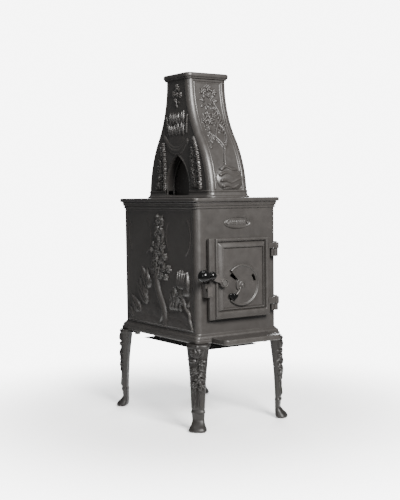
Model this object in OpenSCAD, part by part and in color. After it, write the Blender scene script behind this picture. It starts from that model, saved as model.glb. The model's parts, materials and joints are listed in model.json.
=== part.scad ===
// Small cast-iron wood stove on four legs, with an arched heat tower on its top plate.
// Units are millimetres. +X is the hinge side, -Y the door side, +Z up, floor at z = 0.

/* [Firebox] */
// Width of the firebox over its side plates
body_w = 287; // [270:1:300]
// Depth of the firebox over its front and back plates
body_d = 415; // [400:1:440]
// Height of the firebox floor's top face, where the four plates stand
body_z0 = 278; // [270:1:290]
// Height of the underside of the top plate
body_z1 = 636; // [620:1:660]
// Thickness of the cast plates
wall = 10; // [8:0.5:11]
// Radius of the upright corners of the front and back plates
corner_r = 16; // [14:1:20]

/* [Base and top plate] */
// Depth of the moulded edge of the base casting
base_h = 27; // [25:1:30]
// How far the base moulding stands out past the plates
base_over = 10.5; // [8:0.5:12]
// Width of the ash lip in front of the door
lip_w = 203; // [180:1:215]
// How far the ash lip reaches in front of the front plate
lip_reach = 80.5; // [60:0.5:90]
// Thickness of the ash lip
lip_t = 16; // [12:1:18]
// Thickness of the top plate with its mouldings
top_h = 31; // [28:1:36]
// How far the top plate stands out past the firebox
top_over = 10.5; // [8:0.5:12]

/* [Door] */
// Width of the door
door_w = 215; // [205:1:218]
// Height of the door
door_h = 234; // [220:1:240]
// Height of the door's lower edge
door_z0 = 317.5; // [312:0.5:322]
// Where the door's latch edge is, left of the centre line
door_left = 111; // [109:1:112]
// How far the door's face stands in front of the front plate
door_proud = 18.5; // [17:0.5:19]
// Radius of the turning air plate
air_r = 61; // [56:1:62]
// Height of the air plate's pivot
air_z = 413.5; // [410:0.5:417]

/* [Legs] */
// Height of the ankle under the knee
ankle_z = 32; // [26:1:36]
// How far the toe reaches out past the base's corner
toe_out = 15; // [10:1:18]

/* [Tower] */
// Width of the tower over its side panels
tower_w = 142; // [132:1:146]
// Height of the tower from the top plate to the underside of its cap
tower_h = 354; // [330:1:370]
// Half depth of the tower at its foot
tower_foot = 172; // [160:1:176]
// Half depth of the tower under its cap
tower_neck = 64; // [56:1:68]
// Half width of the arched niche at its foot
arch_half = 65; // [58:1:70]
// Depth of the arched niche
niche_d = 38; // [30:1:42]
// Height of the arch's crown above the top plate
arch_h = 130; // [115:1:145]
// Thickness of the tower's cap
cap_h = 19; // [16:1:22]

/* [Flue] */
// Inner radius of the flue collar
flue_r = 60; // [50:1:62]
// How far the collar stands out of the back plate
collar_len = 48.5; // [40:0.5:60]
// Height of the collar's axis
flue_z = 545; // [530:1:555]

/* [Hidden] */
$fn = 64;

cast = [0.23, 0.22, 0.21];
cast_inner = [0.30, 0.27, 0.25];
sheet = [0.17, 0.17, 0.17];
steel = [0.55, 0.55, 0.56];
gloss = [0.03, 0.03, 0.03];
rope = [0.62, 0.60, 0.55];

half_w = body_w / 2;
half_d = body_d / 2;
front_reach = half_d + lip_reach;
rear_reach = half_d + collar_len;
// Shift that puts the origin under the middle of the whole object
mid_y = (front_reach - rear_reach) / 2;

fit = 0.05;           // running clearance of a pin or shank in its hole
gap = 0.4;            // clearance between parts that move past each other

base_z0 = body_z0 - base_h;
floor_t = 12;         // thickness of the base's floor
top_z = body_z1 + top_h;
cap_z0 = top_z + tower_h;
ceiling_z = top_z - 12;   // underside of the top plate's web, inside its rim
in_w = half_w - wall; // inner half width of the firebox
in_d = half_d - wall; // inner half depth of the firebox

leg_bolt = [112, 186];     // leg bolt, out from the centre
tie_rod = [119, 148];      // firebox tie rod, out from the centre
shield_post = [75, 130];   // heat shield post, out from the centre
tower_rod = [16, 36];      // tower rod, out from the centre
shield_half = [99, 164];
shield_z = 222;
shield_t = 1.5;

divider_y = 70;       // front face of the plate between firebox and smoke box
liner_t = 8;
hearth_t = 10;
baffle_z = 575;

door_z1 = door_z0 + door_h;
door_y0 = -half_d - door_proud;      // the door's foremost face
door_y1 = -half_d - 1.5;             // the door's back face
door_lap = 12.5;                     // how far the door laps over the front plate
slab_y = door_y0 + 6;                // face of the door's sunk panel
hinge_x = 128;
hinge_y = -half_d - 15.5;
hinge_r = 8;
hinge_zs = [[331, 350, 372], [492, 515, 533]];   // frame knuckle foot, joint, door knuckle head
pin_r = 3.5;

air_x = 2;
air_hub_r = 21;
air_cut = [133, 225]; // the air plate's missing sector, anticlockwise from +X seen from the front
lever_pivot = [-70, 424];
lever_rest = 32;      // lift of the latch lever above its shut position
handle_y = -half_d - 47.5;
ball_r = 18;
collar_r = 12.5;

tower_half = tower_w / 2;
tower_t = 8;
bell_run = (tower_foot - tower_neck) / 2;
bell_rise = tower_h / 2;
bell_r = (bell_run * bell_run + bell_rise * bell_rise) / (2 * bell_run);
flange_h = 22;
flange_out = 8;

module placed() { translate([0, mid_y, 0]) children(); }
module four(at) {
    for (sx = [-1, 1], sy = [-1, 1]) translate([sx * at[0], sy * at[1], 0]) children();
}

// Rectangle with true round corners, centred
module round_rect(w, d, r) {
    square([w - 2 * r, d], center = true);
    square([w, d - 2 * r], center = true);
    for (sx = [-1, 1], sy = [-1, 1]) translate([sx * (w / 2 - r), sy * (d / 2 - r)]) circle(r);
}
// A tier of moulding: a rounded rectangle, grown past the firebox, between two heights
module tier(over, r, z0, z1) {
    translate([0, 0, z0]) linear_extrude(z1 - z0) round_rect(body_w + 2 * over, body_d + 2 * over, r);
}
module box(x0, x1, y0, y1, z0, z1) { translate([x0, y0, z0]) cube([x1 - x0, y1 - y0, z1 - z0]); }
module rod_z(x, y, z0, z1, r) { translate([x, y, z0]) cylinder(h = z1 - z0, r = r); }
module rod_y(x, z, y0, y1, r) { translate([x, y1, z]) rotate([90, 0, 0]) cylinder(h = y1 - y0, r = r); }
module hex_z(x, y, z0, h, across) { translate([x, y, z0]) cylinder(h = h, r = across / sqrt(3), $fn = 6); }

// ---- base, legs and shield ----

module base_plate() {
    color(cast) difference() {
        union() {
            tier(base_over, 10, base_z0, base_z0 + 7);
            tier(base_over - 1.5, 12, base_z0 + 7, base_z0 + 14);
            tier(base_over - 4.5, 16, base_z0 + 14, base_z0 + 21);
            tier(base_over - 7.5, 20, base_z0 + 21, body_z0);
            box(-lip_w / 2, lip_w / 2, -front_reach, -half_d, base_z0, base_z0 + lip_t);
        }
        difference() {
            box(-in_w - 9, in_w + 9, -in_d - 9, in_d + 9, base_z0 - 1, body_z0 - floor_t);
            four([114, 185]) box(-26, 26, -22, 22, base_z0 - 2, body_z0);
        }
        box(-lip_w / 2, lip_w / 2, -half_d - base_over - 1, -half_d, base_z0 + lip_t, body_z0 + 1);
        four(leg_bolt) cylinder(h = body_z0 - 8, r = 5 + fit);
        four(tie_rod) cylinder(h = body_z0 + 1, r = 4 + fit);
        four(shield_post) cylinder(h = body_z0 - 4, r = 3 + fit);
    }
}
module hearth_plate() {
    color(cast_inner) box(-112, 112, -in_d + 2, divider_y - 2, body_z0, body_z0 + hearth_t);
}
module heat_shield() {
    color(sheet) difference() {
        box(-shield_half[0], shield_half[0], -shield_half[1], shield_half[1], shield_z, shield_z + shield_t);
        four(shield_post) cylinder(h = body_z0, r = 3 + fit);
    }
}
module shield_spacers() {
    color(steel) four(shield_post) translate([0, 0, shield_z + shield_t]) difference() {
        cylinder(h = body_z0 - floor_t - shield_z - shield_t, r = 7);
        translate([0, 0, -1]) cylinder(h = body_z0, r = 3 + fit);
    }
}
module shield_screws() {
    color(steel) four(shield_post) {
        translate([0, 0, shield_z - 4]) cylinder(h = 4, r = 6);
        translate([0, 0, shield_z - 1]) cylinder(h = body_z0 - 6 - shield_z, r = 3);
    }
}

// One slice of a leg, on the diagonal out of the base's corner: height, inner and outer
// edge along the diagonal, and width across it
leg_slices = [
    [base_z0 - 1, -36, -1, 66], [206, -31, 0, 58], [150, -25, -2, 47], [100, -21, -1, 42],
    [76, -19, 1, 38], [ankle_z, -17, -5, 30], [11, -15, toe_out - 3, 40]
];
module leg_slice(s, h) {
    translate([(s[1] + s[2]) / 2, 0, s[0]]) scale([(s[2] - s[1]) / 2, s[3] / 2, 1])
        cylinder(h = h, r = 1, $fn = 24);
}
module leg(sx, sy) {
    corner = [half_w + base_over, half_d + base_over];
    color(cast) difference() {
        union() {
            translate([sx * corner[0], sy * corner[1], 0]) rotate([0, 0, atan2(sy, sx)]) {
                for (i = [0:len(leg_slices) - 2]) hull() {
                    leg_slice(leg_slices[i], 1);
                    leg_slice(leg_slices[i + 1], 1);
                }
                hull() {
                    leg_slice(leg_slices[6], 1);
                    leg_slice([0, -12, toe_out - 1, 44], 6);
                }
            }
            translate([sx * leg_bolt[0], sy * leg_bolt[1], base_z0 - 12])
                box(-19, 19, -19, 19, 0, 12);
        }
        translate([sx * leg_bolt[0], sy * leg_bolt[1], 0]) {
            cylinder(h = body_z0, r = 5 + fit);
            cylinder(h = base_z0 - 12, r = 11);
        }
    }
}
module leg_front_left() { leg(-1, -1); }
module leg_front_right() { leg(1, -1); }
module leg_rear_left() { leg(-1, 1); }
module leg_rear_right() { leg(1, 1); }
module leg_bolts() {
    color(steel) four(leg_bolt) {
        hex_z(0, 0, base_z0 - 19, 7, 17);
        translate([0, 0, base_z0 - 13]) cylinder(h = 28, r = 5);
    }
}

// ---- firebox ----

// The two end plates wrap round the upright corners
module shell_end() {
    difference() {
        round_rect(body_w, body_d, corner_r);
        round_rect(2 * in_w, 2 * in_d, corner_r - wall);
        translate([-body_w, -half_d + corner_r]) square([2 * body_w, body_d + 1]);
    }
}
module front_plate() {
    color(cast) difference() {
        union() {
            translate([0, 0, body_z0]) linear_extrude(body_z1 - body_z0) shell_end();
            for (z = hinge_zs) {
                rod_z(hinge_x, hinge_y, z[0], z[1], hinge_r);
                box(hinge_x - 16, hinge_x, hinge_y - 2, -half_d + 8, z[0], z[1]);
            }
        }
        box(-door_left + door_lap, door_w - door_left - door_lap, -half_d - 1, -in_d + 1,
            door_z0 + door_lap, door_z1 - door_lap);
        for (z = hinge_zs) rod_z(hinge_x, hinge_y, z[0] - 1, z[1] + 1, pin_r + fit);
        for (z = [393, 414]) rod_y(-115.5, z, -half_d - 1, -in_d + 1, 2.5 + fit);
        for (x = [-36, 36]) rod_y(x, 594, -half_d - 1, -half_d + 6, 2 + fit);
    }
}
module side_plate() {
    color(cast) box(in_w, half_w, -half_d + corner_r, half_d - corner_r, body_z0, body_z1);
}
module right_side_plate() { side_plate(); }
module left_side_plate() { mirror([1, 0, 0]) side_plate(); }
module back_plate() {
    color(cast) difference() {
        mirror([0, 1, 0]) translate([0, 0, body_z0]) linear_extrude(body_z1 - body_z0) shell_end();
        rod_y(0, flue_z, in_d - 1, half_d + 1, flue_r);
        for (a = [90, 210, 330])
            rod_y(74 * cos(a), flue_z + 74 * sin(a), in_d - 1, half_d + 1, 3 + fit);
    }
}
port = [50, 80, 146];  // half width, near and far edge of each smoke port
module ports(z0, z1) {
    for (m = [0, 1]) mirror([0, m, 0]) box(-port[0], port[0], port[1], port[2], z0, z1);
}
module top_plate() {
    color(cast) difference() {
        union() {
            tier(2.5, 20, body_z1, body_z1 + 8);
            tier(6.5, 16, body_z1 + 8, body_z1 + 17.5);
            tier(5, 16, body_z1 + 17.5, body_z1 + 20.5);
            tier(top_over, 12, body_z1 + 20.5, top_z);
        }
        difference() {
            box(-in_w, in_w, -in_d, in_d, body_z1 - 1, ceiling_z);
            four(tie_rod) cylinder(h = ceiling_z + 1, r = 11);
        }
        ports(body_z1, top_z + 1);
        four(tie_rod) translate([0, 0, body_z1 - 1]) cylinder(h = 16, r = 4 + fit);
        four(tower_rod) translate([0, 0, body_z1]) cylinder(h = top_h + 1, r = 4 + fit);
    }
}
module tie_rods() {
    color(steel) four(tie_rod) translate([0, 0, base_z0 + 4])
        cylinder(h = body_z1 + 14 - base_z0 - 4, r = 4);
}
module tie_rod_nuts() {
    color(steel) four(tie_rod) difference() {
        hex_z(0, 0, body_z0 - floor_t - 6.5, 6.5, 13);
        cylinder(h = body_z0, r = 4 + fit);
    }
}
module liner() {
    color(cast_inner) box(in_w - 2 - liner_t, in_w - 2, -138, divider_y - 2, body_z0, baffle_z);
}
module liner_right() { liner(); }
module liner_left() { mirror([1, 0, 0]) liner(); }
module smoke_divider() {
    color(cast_inner) box(-in_w, in_w, divider_y, divider_y + liner_t, body_z0, ceiling_z);
}
module baffle_plate() {
    color(cast_inner) box(-in_w + 1, in_w - 1, -138, divider_y - 1, baffle_z, baffle_z + liner_t);
}
module log_retainer() {
    color(cast_inner) difference() {
        box(-108, 108, -178, -168, body_z0 + hearth_t, body_z0 + hearth_t + 38);
        for (x = [-75:50:75]) box(x - 15, x + 15, -179, -167, body_z0 + hearth_t + 12,
            body_z0 + hearth_t + 26);
    }
}
badge_half = [49, 17.5];
module badge() {
    color(cast) translate([0, -half_d, 594]) rotate([90, 0, 0]) difference() {
        linear_extrude(3.5) polygon([for (a = [0:7.5:359]) [badge_half[0] * cos(a), badge_half[1] * sin(a)]]);
        for (x = [-36, 36]) translate([x, 0, -1]) cylinder(h = 6, r = 2 + fit);
    }
}
module badge_rivets() {
    color(steel) for (x = [-36, 36]) {
        rod_y(x, 594, -half_d - 4, -half_d + 5, 2);
        rod_y(x, 594, -half_d - 5, -half_d - 3.5, 3.5);
    }
}

// ---- hinge and latch ----

module hinge_pins() {
    color(steel) for (z = hinge_zs) {
        rod_z(hinge_x, hinge_y, z[0] - 1, z[2] + 1.5, pin_r);
        rod_z(hinge_x, hinge_y, z[2] + gap, z[2] + 3.5, 5.5);
    }
}
keeper_x = [-127, -112.3];
module latch_keeper() {
    color(cast) difference() {
        box(keeper_x[0], keeper_x[1], -half_d - 32, -half_d + 6, 385, 424);
        box(-130, -110, -half_d - 26.5, -half_d - 19.5, 402, 425);
        box(-130, -110, -half_d - 33, -half_d - 26, 415, 425);
        translate([0, 0, 380]) linear_extrude(50) round_rect(body_w, body_d, corner_r);
        for (z = [393, 414]) rod_y(-115.5, z, -half_d - 13, -half_d + 7, 2.5 + fit);
    }
}
module keeper_screws() {
    color(steel) for (z = [393, 414]) {
        rod_y(-115.5, z, -half_d - 12, -in_d + 1, 2.5);
        rod_y(-115.5, z, -in_d + 0.5, -in_d + 4, 4.5);
    }
}
// The lever is drawn shut and level, about its own pivot, then lifted to its rest
module at_lever() {
    translate([lever_pivot[0], 0, lever_pivot[1]]) rotate([0, lever_rest, 0]) children();
}
module latch_lever() {
    color(cast) difference() {
        union() {
            at_lever() {
                rod_y(0, 0, door_y0 - 12, door_y0 - 2, 13);
                hull() {
                    rod_y(-8, 0, door_y0 - 7.5, door_y0 - 2.5, 9);
                    rod_y(-48, 0, door_y0 - 7.5, door_y0 - 2.5, 6);
                }
                box(-55.5, -43.5, door_y0 - 7, door_y0 - 2.5, -19, 5);
            }
            rod_y(tang_x, handle_z, handle_y, door_y0 - 3, tang_r);
            translate([tang_x, handle_y, handle_z]) sphere(r = tang_r);
            translate([tang_x, handle_y, handle_z]) rotate([0, -90, 0]) cylinder(h = 45, r = stub_r);
        }
        rod_y(lever_pivot[0], lever_pivot[1], door_y0 - 13, door_y0, 5 + fit);
    }
}
module latch_pivot_bolt() {
    color(steel) {
        rod_y(lever_pivot[0], lever_pivot[1], door_y0 - 14, door_y1 - 2, 5);
        rod_y(lever_pivot[0], lever_pivot[1], door_y0 - 16.5, door_y0 - 12 - gap, 8);
    }
}
handle_z = lever_pivot[1] + 24.5;
tang_x = lever_pivot[0] - 36;
tang_r = 4;                          // radius of the lever's turned-out foot for the handle
collar_x = tang_x - tang_r - collar_r - 0.1;
neck_x = collar_x - 11.5;            // where the handle's collar meets its ball
ball_x = neck_x - ball_r + 1.5;
stub_r = 3.5;                        // radius of the stub that carries the handle
stub_x1 = tang_x - 46;               // far end of the stub's bore
// A round part of the handle, turned about the lever's foot: its centre, radius, how far its
// bore runs, and where the flat neck cuts it, along the axis away from the door's middle
module handle_turned(x, r, from, to) {
    color(gloss) translate([x, handle_y, handle_z]) rotate([0, -90, 0]) rotate_extrude()
        intersection() {
            circle(r = r);
            difference() {
                translate([0, from]) square([r + 1, to - from]);
                translate([-1, from - 1]) square([stub_r + 1, x - stub_x1 - from + 1]);
            }
        }
}
module handle_collar() { handle_turned(collar_x, collar_r, -collar_r - 1, collar_x - neck_x); }
module handle_ball() { handle_turned(ball_x, ball_r, ball_x - neck_x, ball_r + 1); }

// ---- door ----

module door_box(inset, y0, y1) {
    box(-door_left + inset, door_w - door_left - inset, y0, y1, door_z0 + inset, door_z1 - inset);
}
// Sector of a ring in the door's plane, angles anticlockwise from +X seen from the front
module air_sector(r0, r1, a0, a1, y0, y1) {
    steps = 12;
    translate([air_x, y1, air_z]) rotate([90, 0, 0]) linear_extrude(y1 - y0)
        polygon(concat(
            [for (i = [0:steps]) r1 * [cos(a0 + (a1 - a0) * i / steps), sin(a0 + (a1 - a0) * i / steps)]],
            [for (i = [steps:-1:0]) r0 * [cos(a0 + (a1 - a0) * i / steps), sin(a0 + (a1 - a0) * i / steps)]]));
}
module door_panel() {
    seal_w = 7;
    color(cast) difference() {
        union() {
            door_box(0, slab_y, door_y1);
            difference() {
                box(-88, door_w - door_left, door_y0, slab_y + 1, door_z0, door_z1);
                box(-72, 78, door_y0 - 1, slab_y + 2, door_z0 + 24, door_z1 - 26);
            }
            rod_y(lever_pivot[0], lever_pivot[1], door_y0 - 1.5, slab_y + 1, 10.5);
            for (z = hinge_zs) {
                rod_z(hinge_x, hinge_y, z[1] + gap, z[2], hinge_r);
                box(door_w - door_left - 6, hinge_x, hinge_y - 3, hinge_y + 5, z[1] + gap, z[2]);
            }
        }
        difference() {
            door_box(4, door_y1 - 5, door_y1 + 1);
            door_box(4 + seal_w, door_y1 - 6, door_y1 + 2);
        }
        for (z = hinge_zs) rod_z(hinge_x, hinge_y, z[0], z[2] + 1, pin_r + fit);
        air_sector(24, 48, 117, 140, door_y0, door_y1 + 1);
        air_sector(32, 52, -20, 40, door_y0, door_y1 + 1);
        rod_y(air_x, air_z, door_y0, door_y1 + 1, 5 + fit);
        rod_y(lever_pivot[0], lever_pivot[1], door_y0 - 3, door_y1 + 1, 5);
        for (x = [-80, 72], z = [352, 517]) rod_y(x, z, door_y1 - 6, door_y1 + 1, 3 + fit);
    }
}
module door_seal() {
    color(rope) difference() {
        door_box(4.2, door_y1 - 4.8, -half_d - gap);
        door_box(4 + 6.8, door_y1 - 6, door_y1 + 2);
    }
}
shield_y = -in_d - 5;   // front face of the door's inner plate
module door_shield() {
    color(cast_inner) difference() {
        box(-90, 82, shield_y, shield_y + 4, door_z0 + 24, door_z1 - 24);
        for (x = [-80, 72], z = [352, 517]) rod_y(x, z, shield_y - 1, shield_y + 5, 3 + fit);
    }
}
module door_shield_screws() {
    color(steel) for (x = [-80, 72], z = [352, 517]) {
        rod_y(x, z, door_y1 - 5, shield_y + 4.5, 3);
        rod_y(x, z, shield_y + 4, shield_y + 8, 5.5);
        difference() {
            rod_y(x, z, door_y1, shield_y, 5.5);
            rod_y(x, z, door_y1 - 1, shield_y + 1, 3 + fit);
        }
    }
}
module air_pivot_bolt() {
    color(steel) {
        rod_y(air_x, air_z, door_y0 - 3, door_y1 + 3, 5);
        rod_y(air_x, air_z, door_y0 - 4.5, door_y0 - 1 - gap, 9);
        rod_y(air_x, air_z, door_y1, door_y1 + 5.5, 8.5);
    }
}
plate_y = [door_y0 - 1, slab_y - gap];   // front and back of the air plate's hub
module air_plate() {
    color(cast) difference() {
        union() {
            rod_y(air_x, air_z, plate_y[0], plate_y[1], 16);
            rod_y(air_x, air_z, plate_y[1] - 3.5, plate_y[1], air_hub_r);
            difference() {
                rod_y(air_x, air_z, plate_y[1] - 5, plate_y[1], air_r);
                rod_y(air_x, air_z, plate_y[1] - 6, plate_y[1] - 3.5, air_r - 6);
                air_sector(air_hub_r - 1, air_r + 8, air_cut[0], air_cut[1], door_y0 - 2, slab_y + 1);
            }
        }
        air_sector(42, 52, -5, 38, door_y0 - 2, slab_y + 1);
        rod_y(air_x, air_z, door_y0 - 3, slab_y + 1, 5 + fit);
    }
}
knob_at = [-34, -31];    // heart knob's centre from the air plate's pivot
module air_lever() {
    color(steel) translate([air_x, 0, air_z]) {
        rod_y(-9.5, -9, plate_y[0] - 4.5, plate_y[0], 2.5);
        hull() {
            rod_y(-9.5, -9, plate_y[0] - 4.5, plate_y[0] - 1.5, 2.5);
            rod_y(-25, -23, plate_y[0] - 4.5, plate_y[0] - 1.5, 2);
        }
    }
}
module air_knob() {
    color(gloss) translate([air_x + knob_at[0], plate_y[0] - 1, air_z + knob_at[1]]) rotate([90, 0, 0])
        difference() {
            linear_extrude(7) {
                for (s = [-1, 1]) translate([7.5 * s, 5]) circle(9);
                polygon([[-15.2, 0.4], [0, -17], [15.2, 0.4], [7.5, 10], [-7.5, 10]]);
            }
            translate([7, 6, -1]) rotate([0, 0, 43]) translate([0, -4.8, 0]) cube([18, 9.6, 6]);
        }
}

// ---- flue ----

module flue_collar() {
    color(cast) difference() {
        union() {
            rod_y(0, flue_z, half_d, rear_reach, flue_r + 6);
            rod_y(0, flue_z, half_d, half_d + 8, flue_r + 20);
        }
        rod_y(0, flue_z, half_d - 1, rear_reach + 1, flue_r);
        for (a = [90, 210, 330])
            rod_y(74 * cos(a), flue_z + 74 * sin(a), half_d - 1, half_d + 9, 3 + fit);
    }
}
module flue_collar_screws() {
    color(steel) for (a = [90, 210, 330]) {
        rod_y(74 * cos(a), flue_z + 74 * sin(a), in_d - 3, half_d + 9, 3);
        rod_y(74 * cos(a), flue_z + 74 * sin(a), half_d + 8, half_d + 11.5, 5);
    }
}

// ---- tower ----

// Outline of the tower seen from its side: two pairs of arcs of one radius, convex below
// and hollow above, moved in by the given thickness
module bell(inset) {
    mid = bell_rise;
    foot = tower_foot - inset;
    neck = tower_neck - inset;
    over = inset > 0 ? 1 : 0;
    intersection() {
        translate([-tower_foot, -over]) square([2 * tower_foot, mid + over + 0.01]);
        translate([bell_r - tower_foot, 0]) circle(bell_r - inset, $fn = 180);
        translate([tower_foot - bell_r, 0]) circle(bell_r - inset, $fn = 180);
    }
    difference() {
        translate([-(foot + neck) / 2, mid]) square([foot + neck, mid + over]);
        for (s = [-1, 1]) translate([s * (tower_neck + bell_r), tower_h])
            circle(bell_r + inset, $fn = 180);
    }
}
// Stands an outline drawn in the side view between two places along X
module upright(x0, x1, z) {
    translate([x0, 0, z]) rotate([90, 0, 90]) linear_extrude(x1 - x0) children();
}
// Outline of the arch: straight jambs and a pointed crown of two arcs
module arch(grow) {
    spring = 30;
    rise = arch_h - spring;
    r = (arch_half * arch_half + rise * rise) / (2 * arch_half);
    translate([-arch_half - grow, -1]) square([2 * (arch_half + grow), spring + 1]);
    intersection() {
        translate([-arch_half - grow, spring - 0.01]) square([2 * (arch_half + grow), rise + grow]);
        translate([r - arch_half, spring]) circle(r + grow);
        translate([arch_half - r, spring]) circle(r + grow);
    }
}
module tower_base() {
    color(cast) difference() {
        union() {
            translate([0, 0, top_z]) linear_extrude(8)
                round_rect(tower_w + 2 * flange_out, 2 * (tower_foot + flange_out), 20);
            translate([0, 0, top_z + 8]) linear_extrude(flange_h - 8)
                round_rect(tower_w + 5, 2 * tower_foot + 5, 18);
        }
        for (m = [0, 1]) mirror([m, 0, 0]) box(tower_half - niche_d, tower_w, -arch_half, arch_half,
            top_z + 8, top_z + flange_h + 1);
        translate([0, 0, top_z + 10]) linear_extrude(flange_h)
            round_rect(tower_w + 0.4, 2 * tower_foot + 0.4, 16);
        ports(top_z - 1, top_z + 12);
        four(tower_rod) translate([0, 0, top_z - 1]) cylinder(h = 12, r = 4 + fit);
    }
}
tower_z = top_z + 10;                // where the tower's panels stand
// Upright block with round corners, which rounds the panels where they stand in the base
module tower_shaft() {
    translate([0, 0, top_z]) linear_extrude(tower_h + 1) round_rect(tower_w, 2 * tower_foot, 16);
}
module bell_slab(x0, x1, inset) {
    intersection() {
        upright(x0, x1, top_z) bell(inset);
        tower_shaft();
        box(-tower_w, tower_w, -tower_foot - 5, tower_foot + 5, tower_z, cap_z0);
    }
}
module tower_end(s) {
    color(cast) intersection() {
        upright(-tower_half, tower_half, top_z) difference() {
            bell(0);
            bell(tower_t);
        }
        tower_shaft();
        mirror([0, s > 0 ? 0 : 1, 0]) box(-tower_w, tower_w, 0, tower_foot + 9, tower_z, cap_z0);
    }
}
module tower_front_panel() { tower_end(-1); }
module tower_rear_panel() { tower_end(1); }
module tower_side() {
    color(cast) difference() {
        bell_slab(tower_half - tower_t, tower_half, tower_t);
        upright(tower_half - tower_t - 1, tower_half + 1, top_z) arch(0);
    }
}
module tower_right_panel() { tower_side(); }
module tower_left_panel() { mirror([1, 0, 0]) tower_side(); }
module niche() {
    color(cast) intersection() {
        difference() {
            upright(tower_half - niche_d - 6, tower_half - tower_t, top_z) arch(6);
            upright(tower_half - niche_d, tower_half, top_z) arch(0);
        }
        box(0, tower_w, -tower_foot, tower_foot, tower_z, cap_z0);
    }
}
module niche_right() { niche(); }
module niche_left() { mirror([1, 0, 0]) niche(); }
module tower_divider() {
    half = tower_half - niche_d - 6;
    color(cast_inner) box(-half, half, -3, 3, tower_z, top_z + arch_h + 10);
}
module tower_cap() {
    color(cast) difference() {
        union() {
            translate([0, 0, cap_z0]) linear_extrude(6) round_rect(146, 134, 16);
            translate([0, 0, cap_z0 + 4]) linear_extrude(cap_h - 7) round_rect(157, 144, 18);
            translate([0, 0, cap_z0 + cap_h - 4]) linear_extrude(4) round_rect(152, 139, 16);
        }
        four(tower_rod) translate([0, 0, cap_z0 - 1]) cylinder(h = 12, r = 4 + fit);
    }
}
// The tower's rods hang from the cap and are tightened under the top plate
module tower_rods() {
    color(steel) four(tower_rod) translate([0, 0, ceiling_z - 9])
        cylinder(h = cap_z0 + 19 - ceiling_z, r = 4);
}
module tower_rod_nuts() {
    color(steel) four(tower_rod) difference() {
        hex_z(0, 0, ceiling_z - 6.5, 6.5, 13);
        cylinder(h = ceiling_z, r = 4 + fit);
    }
}

placed() base_plate();
placed() hearth_plate();
placed() heat_shield();
placed() shield_spacers();
placed() shield_screws();
placed() leg_front_left();
placed() leg_front_right();
placed() leg_rear_left();
placed() leg_rear_right();
placed() leg_bolts();
placed() front_plate();
placed() left_side_plate();
placed() right_side_plate();
placed() back_plate();
placed() top_plate();
placed() tie_rods();
placed() tie_rod_nuts();
placed() liner_left();
placed() liner_right();
placed() smoke_divider();
placed() baffle_plate();
placed() log_retainer();
placed() badge();
placed() badge_rivets();
placed() latch_keeper();
placed() keeper_screws();
placed() hinge_pins();
placed() flue_collar();
placed() flue_collar_screws();
placed() tower_base();
placed() tower_front_panel();
placed() tower_rear_panel();
placed() tower_left_panel();
placed() tower_right_panel();
placed() niche_left();
placed() niche_right();
placed() tower_divider();
placed() tower_cap();
placed() tower_rods();
placed() tower_rod_nuts();
placed() door_panel();
placed() door_seal();
placed() door_shield();
placed() door_shield_screws();
placed() air_pivot_bolt();
placed() latch_pivot_bolt();
placed() latch_lever();
placed() handle_collar();
placed() handle_ball();
placed() air_plate();
placed() air_lever();
placed() air_knob();
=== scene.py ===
"""Looks of the chiminea: its castings, relief, finishes and studio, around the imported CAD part.

Lengths are millimetres and places are measured from the middle of the firebox, with Z up from
the floor, until a mesh is made. A profile or outline is a list of points in drawing order.
"""
import json
import math

import bmesh
import bpy
import numpy as np
from mathutils import Matrix, Vector


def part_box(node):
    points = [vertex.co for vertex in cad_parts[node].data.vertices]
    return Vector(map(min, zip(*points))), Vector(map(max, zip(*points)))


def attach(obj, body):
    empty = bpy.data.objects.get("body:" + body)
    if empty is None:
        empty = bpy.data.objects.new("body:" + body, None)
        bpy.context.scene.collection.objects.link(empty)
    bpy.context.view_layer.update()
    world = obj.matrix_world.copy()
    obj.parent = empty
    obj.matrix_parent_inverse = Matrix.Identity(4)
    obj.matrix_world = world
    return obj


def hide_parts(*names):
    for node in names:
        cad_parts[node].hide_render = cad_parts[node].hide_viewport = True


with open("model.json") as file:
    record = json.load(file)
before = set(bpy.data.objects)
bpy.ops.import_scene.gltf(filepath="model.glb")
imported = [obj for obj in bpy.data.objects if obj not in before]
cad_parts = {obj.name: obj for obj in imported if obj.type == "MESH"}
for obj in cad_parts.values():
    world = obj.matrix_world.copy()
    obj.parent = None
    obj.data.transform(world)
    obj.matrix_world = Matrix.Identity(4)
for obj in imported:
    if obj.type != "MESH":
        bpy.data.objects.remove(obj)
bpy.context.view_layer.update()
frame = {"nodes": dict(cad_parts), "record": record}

# ---- sizes taken from the frame ----

MM = 0.001


def raw(node):
    lo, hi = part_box(node)
    return np.array(lo) / MM, np.array(hi) / MM


MID_Y = sum(c[1] for c in raw("left_side_plate")) / 2


def span(node):
    lo, hi = raw(node)
    shift = np.array([0, MID_Y, 0])
    return lo - shift, hi - shift


def centre_of(node):
    lo, hi = span(node)
    return (lo + hi) / 2


side_lo, side_hi = span("left_side_plate")
HALF_W = -side_lo[0]
HALF_D = span("back_plate")[1][1]
BODY_Z0, BODY_Z1 = side_lo[2], side_hi[2]
CORNER_R = HALF_D - side_hi[1]
WALL = side_hi[0] - side_lo[0]
BASE_Z0 = span("base_plate")[0][2]
LIP_Y = span("base_plate")[0][1]
TOP_Z = span("top_plate")[1][2]
PANEL_THICK = 8
FLANGE_OUT = 8
TOWER_HALF = -span("tower_left_panel")[0][0]
FOOT = span("tower_base")[1][1] - FLANGE_OUT
PANEL_Z0 = span("tower_front_panel")[0][2]
CAP_Z0, CAP_Z1 = span("tower_cap")[0][2], span("tower_cap")[1][2]
NECK = PANEL_THICK - span("tower_front_panel")[1][1]
ARCH_HALF, ARCH_SPRING, ARCH_RISE = 65, 30, 100
TOWER_R = 17
SEAL_IN = 4.2  # from the door's edge to its seal
SEAL_LO, SEAL_HI = span("door_seal")
DOOR_X = (SEAL_LO[0] - SEAL_IN, SEAL_HI[0] + SEAL_IN)
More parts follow.
